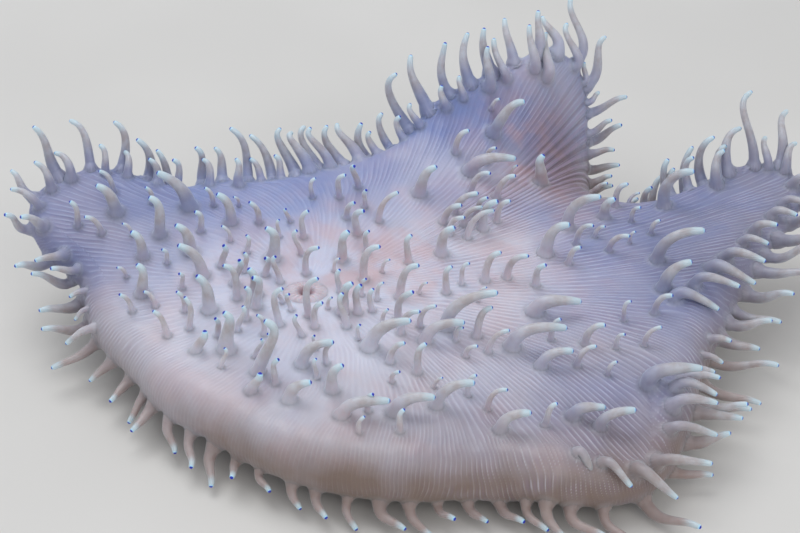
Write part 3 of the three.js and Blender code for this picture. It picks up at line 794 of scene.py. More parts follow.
def skin_block(q_values, spokes):
    """Points and facts of one block of the grid, a row for each q and a column for each spoke."""
    u_grid, q_grid = np.meshgrid(np.arange(spokes) / spokes, q_values)
    point, normal, _ = outer_skin(u_grid, q_grid)
    steps = grid_steps(point)
    row_step, _, squareness = steps
    foot, share, ray, rib_u = feet_on_grid(q_values, u_grid, point, steps)
    if q_values[-1] > 1:
        fold_turn, fold_squareness = turn_over_fold(u_grid[:1], q_grid)
        rib_u = rib_u - fold_turn
        squareness = np.where(q_grid > 1, fold_squareness, squareness)
    rib = ribs(rib_u, q_grid, row_step * spokes * squareness)
    rib = rib + (ray - rib) * share
    strength = between(q_grid, 0.05, 0.2) * between(q_grid, 2.6, 1.6)
    strength = strength * rib_strength(point) * (0.72 + 0.28 * soft_noise(u_grid * 33, q_grid * 9))
    flank = np.exp(-(((u_grid - FLANK_MIDDLE) / FLANK_WIDTH) ** 2)) * between(q_grid, 0.3, 0.7)
    pleat = np.sin(TAU * PLEATS * u_grid + 1.6 * soft_noise(u_grid * 60, q_grid * 3)) * flank
    relief = (RIB_HEIGHT * strength * (rib - 0.6) + PLEAT_HEIGHT * pleat * (1 - share)
              + foot) * between(q_grid, 3, 2) ** 0.5
    relief = relief + broad_relief(u_grid, q_grid, point)
    to_mouth = np.hypot(*np.moveaxis((point[..., :2] - MOUTH) / GULLET_RADII, -1, 0))
    to_mouth = to_mouth + np.maximum(q_grid - 0.4, 0)
    relief = np.maximum(relief - 26 * np.clip(1.12 - to_mouth, 0, 1) ** 2, -GULLET_DEPTH)
    facts = {"rib": 0.5 + (rib - 0.5) * strength, "under": np.clip(q_grid - 2.1, 0, 0.9), "pleat": pleat,
             "foot": share, **colour_facts(point)}
    return point + normal * relief[..., None], facts


# %% [markdown]
# The grid has 900 spokes round the mouth, 1800 further out and 3600 in the outer part, so that there are
# always some points to a rib, and 900 again underneath, where nothing is as fine. There the grid goes back
# to the middle, so that the skin is one closed body.

# %% The skin of the disc
skin_body = Body("rib", "under", "pleat", "foot", "cool", "warm", "pale", "flank_shade")
mouth_point, mouth_normal, _ = outer_skin(0.0, 1e-4)
inner_q = np.concatenate([[0.012, 0.03], np.linspace(0.05, 0.325, 46)])
middle_q = np.linspace(0.33, 0.6, 54)
outer_q = np.concatenate([1 - 0.395 * np.linspace(1, 0, 82) ** 1.25, 1 + np.arange(1, 29) / 28,
                          2 + np.array([1, 2, 3.2, 4.6]) / 5.6])

skin_body.pole(mouth_point - GULLET_DEPTH * mouth_normal, rib=0.5)
for q_values, spokes in ((inner_q, 900), (middle_q, 1800), (outer_q, 3600)):
    block_points, block_facts = skin_block(q_values, spokes)
    skin_body.rings(block_points, **block_facts)

under_q = np.concatenate([np.linspace(2, 1, 16), np.linspace(1, 0.42, 24)[1:], [0.3, 0.18, 0.08]])
under_u, under_q = np.meshgrid(np.arange(900) / 900, under_q)
under_point, under_normal, _ = outer_skin(under_u, under_q)
under_rib = 0.5 + 0.5 * np.cos(TAU * 300 * under_u + 2 * soft_noise(under_u * 50, under_q * 6))
under_depth = tissue_thickness(under_u, under_q) + 0.3 * under_rib * np.clip(2.05 - under_q, 0, 1) - 0.15
under_skin = under_point - under_normal * under_depth[..., None]
skin_body.rings(under_skin, rib=0.6 * under_rib, under=0.9, cool=lilac_and_blue_light_places(under_skin))
skin_body.pole(mouth_point - (DISC_THICKNESS - 0.2) * mouth_normal, rib=0.4, under=0.9)
print(skin_body.count, "points in the disc's skin")

# %% [markdown]
# ## Materials of living tissue
# Tissue is neither paint nor plastic: light goes into it and comes out a little further on. The principled
# shader's subsurface does that. The colour on top of it is mixed from what the skin is at each point: a pale
# rib or a groove, near the mouth or at the margin, above or below. Part of it is painted light: painted shade
# in the grooves, the pleats, low down, underneath, far right and on the flank over the notch, a painted
# highlight in the middle, and a painted tint of bluish light to the back and left. The facts carried by the
# points say that, and noise breaks them up, so nothing is one flat colour.

# %% Node helpers


def colour(red, green, blue):
    """A colour given as it looks on a screen (0 to 255), as the linear values that shaders want."""
    linear = [c / 255 / 12.92 if c <= 10 else ((c / 255 + 0.055) / 1.055) ** 2.4 for c in (red, green, blue)]
    return (*linear, 1.0)


class Finish:
    """A material being put together: each method adds a node and returns its output."""

    def __init__(self, name, **sockets):
        self.material = bpy.data.materials.new(name)
        self.material.use_nodes = True
        self.tree = self.material.node_tree
        self.shader = self.tree.nodes["Principled BSDF"]
        for key, value in sockets.items():
            self.shader.inputs[key.replace("_", " ")].default_value = value

    def add(self, kind, links=(), **settings):
        made = self.tree.nodes.new(kind)
        for key, value in settings.items():
            setattr(made, key, value)
        for socket, value in links:
            if isinstance(value, bpy.types.NodeSocket):
                self.tree.links.new(value, made.inputs[socket])
            else:
                made.inputs[socket].default_value = value
        return made

    def fact(self, name):
        return self.add("ShaderNodeAttribute", attribute_name=name).outputs["Fac"]

    def noise(self, scale, detail=3, stretch=(1, 1, 1)):
        place = self.add("ShaderNodeTexCoord").outputs["Object"]
        place = self.add("ShaderNodeMapping", [("Vector", place), ("Scale", stretch)]).outputs["Vector"]
        links = [("Vector", place), ("Scale", scale), ("Detail", detail)]
        return self.add("ShaderNodeTexNoise", links).outputs["Fac"]

    def place(self, axis, low, high, to_low=0.0, to_high=1.0):
        """A share that changes between two places along X, Y or Z, in metres."""
        point = self.add("ShaderNodeTexCoord").outputs["Object"]
        along = self.add("ShaderNodeSeparateXYZ", [("Vector", point)]).outputs[axis]
        return self.ramp(along, low, high, to_low, to_high)

    def ramp(self, value, low, high, to_low=0.0, to_high=1.0):
        links = [("Value", value), ("From Min", low), ("From Max", high),
                 ("To Min", to_low), ("To Max", to_high)]
        return self.add("ShaderNodeMapRange", links, interpolation_type="SMOOTHSTEP").outputs["Result"]

    def math(self, operation, a, b):
        return self.add("ShaderNodeMath", [(0, a), (1, b)], operation=operation, use_clamp=True).outputs[0]

    def blend(self, share, first, second):
        links = [("Factor", share), (6, first), (7, second)]
        return self.add("ShaderNodeMix", links, data_type="RGBA").outputs[2]

    def bump(self, height, distance, strength=0.5, under=None):
        links = [("Height", height), ("Distance", distance), ("Strength", strength)]
        if under is not None:
            links.append(("Normal", under))
        return self.add("ShaderNodeBump", links).outputs["Normal"]

    def set(self, socket, value):
        self.tree.links.new(value, self.shader.inputs[socket])


# %% How the skin looks
PALE = colour(199, 196, 208)
# painted highlight for the middle of the disc and the tall lobe's top
CENTRE_HIGHLIGHT = colour(222, 227, 244)
# painted brownish shade on the flank over the notch
FLANK_SHADE = colour(102, 82, 86)
# the skin's lavender with a painted tint of bluish light
LILAC_AND_BLUE_LIGHT = colour(122, 136, 183)
# painted shade with a painted bluish sheen, towards the right
SLATE_SHADE_AND_SHEEN = colour(140, 136, 150)
SALMON = colour(200, 176, 180)
# painted shade in the grooves between the ribs
GROOVE_SHADE = colour(146, 126, 150)
RIB = colour(218, 218, 236)
ORAL = colour(206, 168, 166)
# painted shade low down and along the near and left sides
LOW_SHADE = colour(134, 116, 106)
# painted shade underneath the disc
UNDER_SHADE = colour(112, 92, 84)
# painted shade in the troughs of the pleats, and a painted highlight on their crests
PLEAT_SHADE = colour(124, 98, 104)
PLEAT_HIGHLIGHT = colour(172, 154, 180)
FLESH = colour(186, 188, 192)
FLESH_DARK = colour(170, 165, 165)


def flesh_look(finish):
    return finish.blend(finish.ramp(finish.noise(260, 3), 0.3, 0.7), FLESH, FLESH_DARK)


def skin_look(finish):
    """Pale pink on the near side, lilac with a painted tint of bluish light to the left and back, painted
    shade with a bluish sheen far right, painted shade low down, in the grooves, in the pleats and on the
    flank, a painted highlight in the middle, pale ribs.
    """
    patches = finish.ramp(finish.noise(48, 2), 0.42, 0.68, 0.0, 0.6)
    look = finish.blend(patches, PALE, SALMON)
    # a painted tint of bluish light over the skin's own lavender, to the back, the left and on the lobes
    cool = finish.math("ADD", finish.fact("cool"), finish.ramp(finish.noise(28), 0.3, 0.75, -0.2, 0.25))
    look = finish.blend(cool, look, LILAC_AND_BLUE_LIGHT)
    # painted highlight, paler in the middle of the disc and on the tall lobe's upper end
    look = finish.blend(finish.math("MULTIPLY", finish.fact("pale"), 0.7), look, CENTRE_HIGHLIGHT)
    warm = finish.ramp(finish.noise(75, 4), 0.38, 0.65, 0.05, 1.0)
    warm = finish.math("MULTIPLY", finish.fact("warm"), warm)
    look = finish.blend(warm, look, ORAL)
    # painted shade with a painted bluish sheen, growing towards the right
    slate_shade_and_sheen = finish.ramp(finish.noise(32), 0.35, 0.65, 0.55, 1.0)
    slate_shade_and_sheen = finish.math("MULTIPLY", slate_shade_and_sheen, finish.place("X", 0.055, 0.150, 0.0, 0.8))
    look = finish.blend(slate_shade_and_sheen, look, SLATE_SHADE_AND_SHEEN)
    # painted shade on the flank over the notch
    look = finish.blend(finish.math("MULTIPLY", finish.fact("flank_shade"), 0.9), look, FLANK_SHADE)
    # painted shade: darker towards the floor, weaker at the far left, and a little along the near and left
    # edges
    low, right = finish.place("Z", 0.043, 0.018), finish.place("X", -0.115, -0.060, 0.5, 1.0)
    low = finish.math("MULTIPLY", low, right)
    low = finish.math("MULTIPLY", low, finish.ramp(finish.noise(40), 0.2, 0.8, 0.6, 1.0))
    near, left = finish.place("Y", -0.075, -0.112, 0.0, 0.2), finish.place("X", -0.08, -0.13, 0.0, 0.2)
    side = finish.math("ADD", near, left)
    look = finish.blend(finish.math("ADD", low, side), look, LOW_SHADE)
    # painted shade in the pleats' troughs and a painted highlight on their crests
    look = finish.blend(finish.ramp(finish.fact("pleat"), 0.0, -0.9, 0.0, 0.3), look, PLEAT_SHADE)
    look = finish.blend(finish.ramp(finish.fact("pleat"), 0.0, 0.9, 0.0, 0.35), look, PLEAT_HIGHLIGHT)
    look = finish.blend(finish.ramp(finish.fact("foot"), 0.1, 1.0, 0.0, 0.2), look, flesh_look(finish))
    rib = finish.fact("rib")
    uneven = finish.ramp(finish.noise(120, 3), 0.35, 0.65, 0.3, 1.0)
    # painted shade in the grooves between the pale ribs
    look = finish.blend(finish.math("MULTIPLY", uneven, finish.ramp(rib, 0.5, 0.0, 0.0, 0.30)), look, GROOVE_SHADE)
    return finish.blend(finish.math("MULTIPLY", uneven, finish.ramp(rib, 0.5, 1.0, 0.0, 0.36)), look, RIB)


# %% Skin of the disc
TISSUE = {"Roughness": 0.38, "Subsurface_Weight": 0.75, "Subsurface_Radius": (1.0, 0.8, 0.75),
          "Subsurface_Scale": 0.005, "IOR": 1.38, "Coat_Weight": 0.12, "Coat_Roughness": 0.22,
          "Sheen_Weight": 0.2, "Sheen_Roughness": 0.35, "Sheen_Tint": (0.82, 0.93, 1.0, 1.0)}
skin = Finish("moist_skin", **TISSUE)
# painted shade on the underside and at the end of the roll
skin.set("Base Color", skin.blend(skin.fact("under"), skin_look(skin), UNDER_SHADE))
fine = skin.bump(skin.noise(900, 4), 0.0003, 0.3)
skin.set("Normal", skin.bump(skin.fact("rib"), 0.00025, 0.5, fine))
skin.set("Roughness", skin.ramp(skin.noise(160), 0.3, 0.7, 0.32, 0.52))
DISC_NODES = ("oral_disc", "right_lobe", "near_right_fold", "near_fold", "near_left_fold", "left_lobe",
              "back_fold", "upper_lobe")
skin_body.piece("disc_skin", skin.material, "disc", *DISC_NODES)

# %% [markdown]
# ## Building the tentacles
# Each finger is a stack of rings along a bent axis. The lowest rings don't lie flat: they follow the skin, at
# the height that the foot has there, so finger and skin meet without an edge. To find them, short walks lead
# out from the root over the skin in all directions: a stride straight ahead, then back to the nearest point
# of the skin. A shrinkwrap modifier would do much the same, but could not say how far each ring has come.
# Further up the rings square themselves to the axis, which leaves the skin at a right angle and bends over
# towards the tip.

# %% The axis of a finger
SWAY = 0.16  # to either side, for each millimetre of length


def finger_axis(tentacle):
    """Points along the axis with their distances from the root."""
    root, tip, length, hook = (tentacle[key] for key in ("root", "tip", "length", "hook"))
    index = tentacle["index"]
    over = np.array([np.sign(drift(root[0])), 0.5 * wobble(index, 12), -0.8])
    end_way = unit(unit(tip - root) + hook * over)
    sway = tentacle["side"] * SWAY * length * wobble(index, 10)
    first = root + tentacle["normal"] * 0.5 * length + sway
    second = tip - end_way * 0.38 * length + 0.5 * sway
    s = np.linspace(0, 1, 41)[:, None]
    axis = (1 - s) ** 3 * root + 3 * s * (1 - s) ** 2 * first + 3 * s * s * (1 - s) * second + s ** 3 * tip
    return axis, lengths_along(axis)


# %% The skin without ribs and feet
FOOT_SIDES = 32
FINGER_SIDES = 16
SMOOTH_SPOKES = 1200


def plain_underside():
    """Rows of points of the underside, from the hem inwards."""
    u_grid, q_grid = np.meshgrid(np.arange(SMOOTH_SPOKES) / SMOOTH_SPOKES, np.linspace(2, 0.3, 40))
    point, normal, _ = outer_skin(u_grid, q_grid)
    return point - normal * tissue_thickness(u_grid, q_grid)[..., None]


def smooth_skin():
    """A surface that can be asked for its point nearest to another point."""
    q_rows = np.concatenate([np.linspace(0.02, 1, 120), 1 + np.arange(1, 17) / 16, 2 + np.arange(1, 13) / 12])
    u_grid, q_grid = np.meshgrid(np.arange(SMOOTH_SPOKES) / SMOOTH_SPOKES, q_rows)
    point, normal, _ = outer_skin(u_grid, q_grid)
    upper_rows = point + normal * broad_relief(u_grid, q_grid, point)[..., None]
    rows = np.concatenate([upper_rows, plain_underside()])
    ids = np.arange(rows[..., 0].size).reshape(rows.shape[:2])
    return BVHTree.FromPolygons(rows.reshape(-1, 3).tolist(), quads_of(ids))


smooth = smooth_skin()
nearest = smooth.find_nearest((0, 0, 100))[0]
print("seen from 100 mm above the origin, the nearest skin is at", [round(value) for value in nearest])

# %% Rings of the foot, on the skin
FOOT_SINK = np.array([1.0, 0.75, 0.5, 0.28, 0.08, 0.0, 0.0, 0.0])  # below the skin's own rise, out of sight
WALK = 1.5  # how far out the walks go, in reaches of the foot


def walk_over_skin(tentacle, strides=24):
    """Points and normals met while walking out from the root over the skin, in all directions."""
    root, normal = Vector(tentacle["root"]), Vector(tentacle["normal"])
    side, across = Vector(tentacle["side"]), Vector(tentacle["across"])
    stride = WALK * tentacle["foot_reach"] / strides
    start, start_normal = smooth.find_nearest(root)[:2]
    sign = 1 if start_normal.dot(normal) > 0 else -1
    tracks = []
    for turn in TAU * np.arange(FOOT_SIDES) / FOOT_SIDES:
        point, up = start, normal
        way = math.cos(turn) * side + math.sin(turn) * across
        track = [(point, up)]
        for _ in range(strides):
            way = (way - up * way.dot(up)).normalized()
            point, up = smooth.find_nearest(point + way * stride)[:2]
            up = up * sign
            track.append((point, up))
        tracks.append(track)
    return np.array(tracks)


def foot_on_skin(tentacle, radius, height):
    """The rings of one foot: on the skin at given distances from the root, and raised above it."""
    tracks = walk_over_skin(tentacle)
    apart = np.maximum.accumulate(np.linalg.norm(tracks[:, :, 0] - tracks[:, :1, 0], axis=-1), axis=1)
    rings = np.empty((len(radius), FOOT_SIDES, 3))
    for k, track in enumerate(tracks):
        place = np.minimum(np.interp(radius, apart[k], np.arange(len(track))), len(track) - 1.001)
        low, share = place.astype(int), (place % 1)[:, None, None]
        met = track[low] * (1 - share) + track[low + 1] * share
        rings[:, k] = met[:, 0] + met[:, 1] * height[:, None]
    return rings


# %% Rings of the whole tentacle
FINGER_SHARES = np.linspace(0, 1, 15) ** 0.9  # places of the rings, from foot to tip
TIP_ANGLES = np.radians([18, 36, 52, 66, 79])
CAP_STRETCH = 1.5  # length of the rounded end, in tip radii
SQUARE_FROM = 1.3  # inside this many falls from the finger, the foot's rings square themselves to the axis
LOWEST_POINT = 0.3


def carry_along(side, tangents):
    """Turns a direction along a bent axis without twisting it."""
    sides = []
    for tangent in tangents:
        side = unit(side - tangent * (side @ tangent))
        sides.append(side)
    return np.array(sides)


def spine(axis, reach, first_side, stops, width):
    """Middle points at distances along the axis, with the directions ahead, to the side and across there."""
    middle, ahead, behind = (np.stack([np.interp(np.maximum(stops + step, 0), reach, axis[:, k])
                                       for k in range(3)], -1) for step in (0, 0.4, -0.4))
    middle[:, 2] = np.maximum(middle[:, 2], np.minimum(width, 2.6) + 0.4)
    tangent = unit(ahead - behind)
    side = carry_along(first_side, tangent)
    return middle, tangent, side, np.cross(tangent, side)


def finger_rings(tentacle):
    """Rings of the foot, the finger and its rounded end, and the point of the tip."""
    girth, tip_radius, low = tentacle["girth"], tentacle["tip_radius"], tentacle["foot_height"]
    foot_radius = girth + tentacle["foot_fall"] * FOOT_STEPS
    foot_rise = low * np.exp(-FOOT_STEPS) - FOOT_SINK * min(girth / 2, 1)
    cap_length = CAP_STRETCH * tip_radius
    width = tip_radius + (girth - tip_radius) * (1 - FINGER_SHARES ** tentacle["taper"])
    width = width * (1 + 0.03 * np.sin(8 * FINGER_SHARES + 6 * wobble(tentacle["index"], 11)))
    width = np.concatenate([foot_radius, width])
    axis, reach = finger_axis(tentacle)
    high = reach[-1] - cap_length
    stops = np.concatenate([np.maximum(foot_rise, 0), low + (high - low) * FINGER_SHARES])
    middle, tangent, side, across = spine(axis, reach, tentacle["side"], stops, width)

    def ring(k, sides, radius, forward=0.0):
        turn = TAU * np.arange(sides) / sides
        around = np.cos(turn)[:, None] * side[k] + np.sin(turn)[:, None] * across[k]
        return middle[k] + radius * around + forward * tangent[k]

    feet = len(FOOT_STEPS)
    foot = foot_on_skin(tentacle, foot_radius, foot_rise)
    squared = np.array([ring(k, FOOT_SIDES, width[k]) for k in range(feet)])
    foot = foot + (squared - foot) * np.clip(1.1 - FOOT_STEPS / SQUARE_FROM, 0, 1)[:, None, None]
    foot[..., 2] = np.maximum(foot[..., 2], LOWEST_POINT)
    finger = np.array([ring(k, FINGER_SIDES, width[k]) for k in range(feet, len(stops))])
    cap = np.array([ring(-1, FINGER_SIDES, width[-1] * math.cos(a), cap_length * math.sin(a))
                    for a in TIP_ANGLES])
    return foot, finger, cap, middle[-1] + tangent[-1] * cap_length


# %% A group of tentacles
FAR_FROM_TIP = 9
ROOT_DEPTH = 1.5  # of the point that closes a tentacle inside the tissue


def tentacle_group(name, group, material):
    """Joins the tentacles of a group to one piece."""
    body = Body("along", "from_tip", "rib", "foot", "cool", "warm", "pleat", "pale", "flank_shade")
    turn = TAU * np.arange(FOOT_SIDES) / FOOT_SIDES
    ray = RAY_DEPTH * np.cos(RAYS * turn) * np.clip(FOOT_STEPS / SQUARE_FROM, 0.1, 0.9)[:, None]
    nearness = eased(foot_closeness(FOOT_STEPS))[:, None]
    for tentacle in group:
        foot, finger, cap, tip = finger_rings(tentacle)
        facts = colour_facts(tentacle["root"])
        spot_scale = (FRINGE_TIP / tentacle["tip_radius"]) ** 0.5
        body.pole(tentacle["root"] - ROOT_DEPTH * tentacle["normal"], foot=1, from_tip=FAR_FROM_TIP, **facts)
        body.rings(foot, foot=nearness, rib=0.5 + ray, from_tip=FAR_FROM_TIP, **facts)
        for rings, along in ((finger, FINGER_SHARES[:, None]), (cap, 1)):
            from_tip = np.linalg.norm(rings - tip, axis=-1) * spot_scale
            body.rings(rings, along=along, foot=1, rib=0.5, from_tip=from_tip, **facts)
        body.pole(tip, along=1, foot=1, rib=0.5, from_tip=0, **facts)
    return body.piece(name, material, "disc")


# %% [markdown]
# The foot of a tentacle has the colours of the skin that it grows from. Higher up it is greyer, near its end
# pale and bluish, and it ends in a deep blue spot with a light blue ring. The spots could be painted on an
# image, but each point knows how far it lies from its own tip, so one rule colours all the tips.

# %% Finish of the tentacles
# painted shade on tentacle flesh near the floor
LOW_FLESH_SHADE = colour(156, 136, 130)
PALE_END = colour(188, 211, 219)
SPOT = colour(20, 36, 165)
HALO = colour(164, 212, 238)

flesh = Finish("tentacle_flesh", **{**TISSUE, "Sheen_Weight": 0.5})
along = flesh.fact("along")
mixed = flesh.blend(flesh.ramp(along, 0.0, 0.6, 0.1, 0.85), skin_look(flesh), flesh_look(flesh))
# painted shade, darker on the flesh close to the floor
mixed = flesh.blend(flesh.place("Z", 0.030, 0.006, 0.0, 0.65), mixed, LOW_FLESH_SHADE)
mixed = flesh.blend(flesh.ramp(along, 0.70, 1.0, 0.0, 0.75), mixed, PALE_END)
mixed = flesh.blend(flesh.ramp(flesh.fact("from_tip"), 1.7, 1.0), mixed, HALO)
mixed = flesh.blend(flesh.ramp(flesh.fact("from_tip"), 1.02, 0.78), mixed, SPOT)
flesh.set("Base Color", mixed)
flesh.set("Normal", flesh.bump(flesh.noise(700, 3), 0.0003, 0.3))
tentacle_group("fringe_tentacles", fringe, flesh.material)
tentacle_group("tall_tentacles", tall, flesh.material)
tentacle_group("small_tentacles", small, flesh.material)

# %% [markdown]
# ## The mouth
# The mouth is a short oval slit with pleated lips round a gullet, which is painted darker as shade. A torus
# could be pressed oval, but a profile turned round gives the lips their lean and lets the pleats run over
# them into the gullet.

# %% Mouth
MOUTH_LENGTH = 17
MOUTH_WIDTH = 12
LIP_PROFILE = [(1.16, -3.0), (1.14, -0.7), (1.06, -0.1), (0.9, 0.5), (0.7, 0.95), (0.5, 0.85), (0.34, 0.1),
               (0.22, -1.2), (0.12, -2.6), (0.05, -3.3)]
LIP_AROUND = 180
LIP_PLEATS = 20

profile = np.array(LIP_PROFILE)
samples = np.linspace(0, len(profile) - 1, 34)
lip_radius, lip_height = (np.interp(samples, range(len(profile)), profile[:, k]) for k in (0, 1))
for _ in range(3):
    lip_radius[1:-1] = (lip_radius[:-2] + 2 * lip_radius[1:-1] + lip_radius[2:]) / 4
    lip_height[1:-1] = (lip_height[:-2] + 2 * lip_height[1:-1] + lip_height[2:]) / 4
lip_turn = TAU * np.arange(LIP_AROUND) / LIP_AROUND
lip_pleat = np.cos(LIP_PLEATS * lip_turn) * np.exp(-((lip_radius - 0.6) / 0.3) ** 2)[:, None]
mouth_x = unit(np.cross([0.0, 1.0, 0.0], mouth_normal))
mouth_y = np.cross(mouth_normal, mouth_x)
lip_out = lip_radius[:, None] * (1 + 0.035 * lip_pleat)
lips = (mouth_point + (MOUTH_LENGTH / 2 * lip_out * np.cos(lip_turn))[..., None] * mouth_x
        + (MOUTH_WIDTH / 2 * lip_out * np.sin(lip_turn))[..., None] * mouth_y
        + (lip_height[:, None] + 0.22 * lip_pleat)[..., None] * mouth_normal)

lip = Finish("lip_flesh", Roughness=0.3, Subsurface_Weight=0.5, Subsurface_Radius=(1.0, 0.5, 0.4),
             Subsurface_Scale=0.003, IOR=1.38, Coat_Weight=0.3, Coat_Roughness=0.15)
tone = lip.blend(lip.ramp(lip.noise(260, 4), 0.3, 0.7), colour(200, 186, 193), colour(210, 202, 212))
# painted shade, darker down in the gullet
lip.set("Base Color", lip.blend(lip.fact("deep"), tone, colour(146, 108, 116)))
lip.set("Normal", lip.bump(lip.noise(800, 3), 0.0003, 0.4))
lip_body = Body("deep")
lip_body.pole(mouth_point - 4.4 * mouth_normal)
lip_body.rings(lips, deep=np.clip((0.55 - lip_radius) / 0.4, 0, 1)[:, None])
lip_body.pole(mouth_point - 3.7 * mouth_normal, deep=1)
lip_body.piece("lips", lip.material, "mouth", "mouth")

# %% [markdown]
# ## Column and foot
# Under the disc the body narrows to a column and spreads again to the foot that grips the ground. From most
# sides little of it shows, but its skin is folded lengthwise by the muscles inside, so it gets folds too.

# %% Rings of the column
COLUMN_SHARE = 0.55
COLUMN_GAP = 0.8
WAIST_RADIUS = 47
WAIST_HEIGHT = 11
FOOT_RADIUS = 58
FOOT_THICKNESS = 5
CUT = 0.3
COLUMN_AROUND = 480

column_u = edge_place(TAU * np.arange(COLUMN_AROUND) / COLUMN_AROUND)
shoulder, shoulder_normal, _ = outer_skin(column_u, COLUMN_SHARE)
shoulder = shoulder - shoulder_normal * (tissue_thickness(column_u, COLUMN_SHARE) + COLUMN_GAP)[:, None]
bearing = np.arctan2(shoulder[:, 1], shoulder[:, 0])
outline = 1 + 0.05 * np.cos(2 * bearing - 0.6) + 0.03 * np.sin(3 * bearing)
outwards = np.stack([np.cos(bearing), np.sin(bearing), 0 * bearing], -1)


def level_ring(radius, height):
    return outwards * (outline * radius)[:, None] + np.array([0, 0, 1]) * np.reshape(height, (-1, 1))


print("the column is about", 2 * WAIST_RADIUS, "mm wide at its waist, the foot", 2 * FOOT_RADIUS, "mm")

# %% Column
FOLDS = 40
FINE_FOLDS = 97

waist = level_ring(WAIST_RADIUS, WAIST_HEIGHT)
neck = level_ring(WAIST_RADIUS, 0.6 * shoulder[:, 2])
folds = 0.5 * np.sin(FOLDS * bearing + 1.5 * np.sin(3 * bearing)) + 0.25 * np.sin(FINE_FOLDS * bearing)
column_rows = [shoulder + (0, 0, 2.5)]
for share in np.linspace(0, 1, 30):
    ring = (1 - share) ** 2 * shoulder + 2 * share * (1 - share) * neck + share ** 2 * waist
    wrinkle = 0.3 * np.sin(19 * share + 2 * np.sin(5 * bearing))
    push = (0.6 - 0.7 * folds - wrinkle) * math.sin(math.pi * min(share + 0.12, 1))
    column_rows.append(ring - outwards * np.maximum(push, -0.1)[:, None])
for share in np.linspace(0.1, 1, 9):
    ring = waist * (1 - share) + level_ring(FOOT_RADIUS - 2, FOOT_THICKNESS + CUT) * share
    column_rows.append(ring - np.array([0, 0, 1.6 * math.sin(math.pi * share)]))

hide = Finish("column_skin", Roughness=0.45, Subsurface_Weight=0.25, Subsurface_Radius=(1.0, 0.5, 0.4),
              Subsurface_Scale=0.003, IOR=1.38)
tone = hide.blend(hide.ramp(hide.noise(60, 4), 0.3, 0.7), colour(146, 120, 110), colour(168, 144, 140))
# painted shade in the grooves between the folds
tone = hide.blend(hide.ramp(hide.fact("fold"), 0.1, 0.9, 0.5, 0.0), tone, colour(112, 86, 80))
hide.set("Base Color", tone)
hide.set("Normal", hide.bump(hide.noise(500, 4), 0.0004, 0.5))
column_body = Body("fold")
column_body.pole(column_rows[0].mean(0), fold=0.5)
column_body.rings(np.array(column_rows), fold=0.5 + folds)
column_body.pole((0, 0, FOOT_THICKNESS + CUT), fold=0.5)
column_body.piece("column_skin", hide.material, "column", "column")

# %% Foot
FOOT_PROFILE = [(-1.5, 1), (-0.6, 0.85), (-0.1, 0.65), (0, 0.4), (-0.3, 0.2), (-1, 0)]
frill = 0.35 * np.sin(64 * bearing) + 0.2 * np.sin(23 * bearing) - 0.55
foot_rows = [level_ring(FOOT_RADIUS + inset, FOOT_THICKNESS * height)
             + outwards * (frill * (1 if 0 < height < 1 else 0.4))[:, None] for inset, height in FOOT_PROFILE]
sole = Finish("foot_skin", Roughness=0.5, Subsurface_Weight=0.2, Subsurface_Radius=(1.0, 0.5, 0.4),
              Subsurface_Scale=0.003, IOR=1.38)
tone = sole.blend(sole.ramp(sole.noise(90, 4), 0.3, 0.7), colour(130, 106, 96), colour(152, 128, 120))
sole.set("Base Color", tone)
sole.set("Normal", sole.bump(sole.noise(400, 4), 0.0004, 0.5))
foot_body = Body()
foot_body.pole((0, 0, FOOT_THICKNESS))
foot_body.rings(np.array(foot_rows))
foot_body.pole((0, 0, 0))
foot_body.piece("foot_skin", sole.material, "foot", "foot")

# %% [markdown]
# ## Floor, light and camera
# A pale floor, one broad soft lamp above and a little behind, as the light of a tank falls, and a weaker one
# from the near side. An HDRI would light it richly too, but needs a picture; two area lamps and an even pale
# sky don't. The camera looks down at 35 degrees from the near side, from far enough away to keep the shape
# undistorted.

# %% Floor
FLOOR_REACH = 4

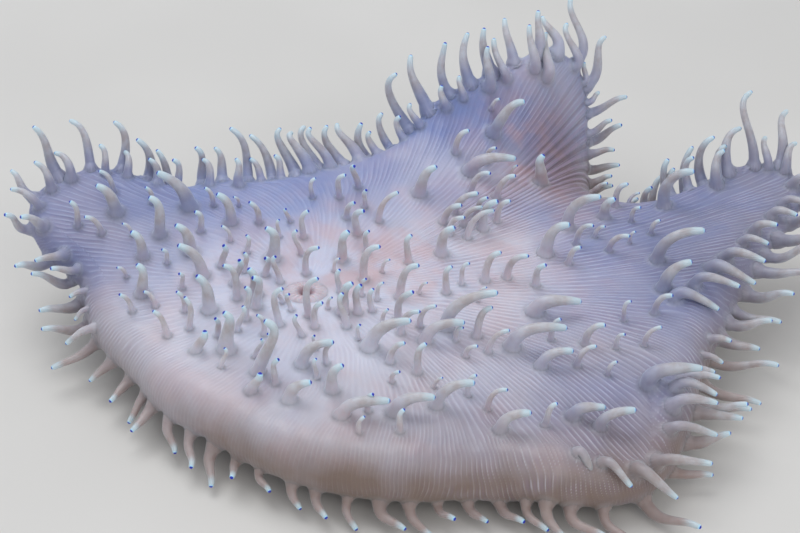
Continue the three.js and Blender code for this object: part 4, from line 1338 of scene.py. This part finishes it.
corners = [(x * FLOOR_REACH, y * FLOOR_REACH, 0) for x, y in ((-1, -1), (1, -1), (1, 1), (-1, 1))]
floor_mesh = bpy.data.meshes.new("floor")
floor_mesh.from_pydata(corners, [], [(0, 1, 2, 3)])
floor = bpy.data.objects.new("floor", floor_mesh)
bpy.context.scene.collection.objects.link(floor)
ground = Finish("pale_floor", Roughness=0.7)
tone = ground.blend(ground.ramp(ground.noise(6, 2), 0.3, 0.7), colour(208, 205, 200), colour(214, 211, 206))
ground.set("Base Color", tone)
floor_mesh.materials.append(ground.material)

# %% Lamps and surroundings
SKY = (0.84, 0.88, 0.95, 1)
SKY_STRENGTH = 0.62


def lamp(name, place, size, watts, tint):
    light = bpy.data.lights.new(name, "AREA")
    light.size, light.energy, light.color = size, watts, tint
    holder = bpy.data.objects.new(name, light)
    bpy.context.scene.collection.objects.link(holder)
    holder.location = place
    aim = Vector((0, 0, 0.03)) - Vector(place)
    holder.rotation_euler = aim.to_track_quat("-Z", "Y").to_euler()
    print(name, "shines with", watts, "W from", round(aim.length, 2), "m away")


lamp("top_lamp", (-0.3, 0.3, 1.25), 0.9, 8, (0.96, 0.98, 1.0))
lamp("side_lamp", (0.5, -1.0, 0.8), 1.0, 5, (1.0, 0.98, 0.96))
world = bpy.data.worlds.new("surroundings")
bpy.context.scene.world = world
world.use_nodes = True
world.node_tree.nodes["Background"].inputs["Color"].default_value = SKY
world.node_tree.nodes["Background"].inputs["Strength"].default_value = SKY_STRENGTH
bpy.context.scene.view_settings.view_transform = "Standard"

# %% Camera
CAMERA_TARGET = Vector((0, 0.020, 0.030))
CAMERA_ELEVATION = math.radians(35)
CAMERA_DISTANCE = 0.930

camera_data = bpy.data.cameras.new("camera")
camera_data.lens = 100
camera_data.sensor_width = 36
camera = bpy.data.objects.new("camera", camera_data)
bpy.context.scene.collection.objects.link(camera)
backwards = Vector((0, -math.cos(CAMERA_ELEVATION), math.sin(CAMERA_ELEVATION)))
camera.location = CAMERA_TARGET + CAMERA_DISTANCE * backwards
camera.rotation_euler = (math.pi / 2 - CAMERA_ELEVATION, 0, 0)
bpy.context.scene.camera = camera
print("the camera stands at", [round(value, 3) for value in camera.location], "m")
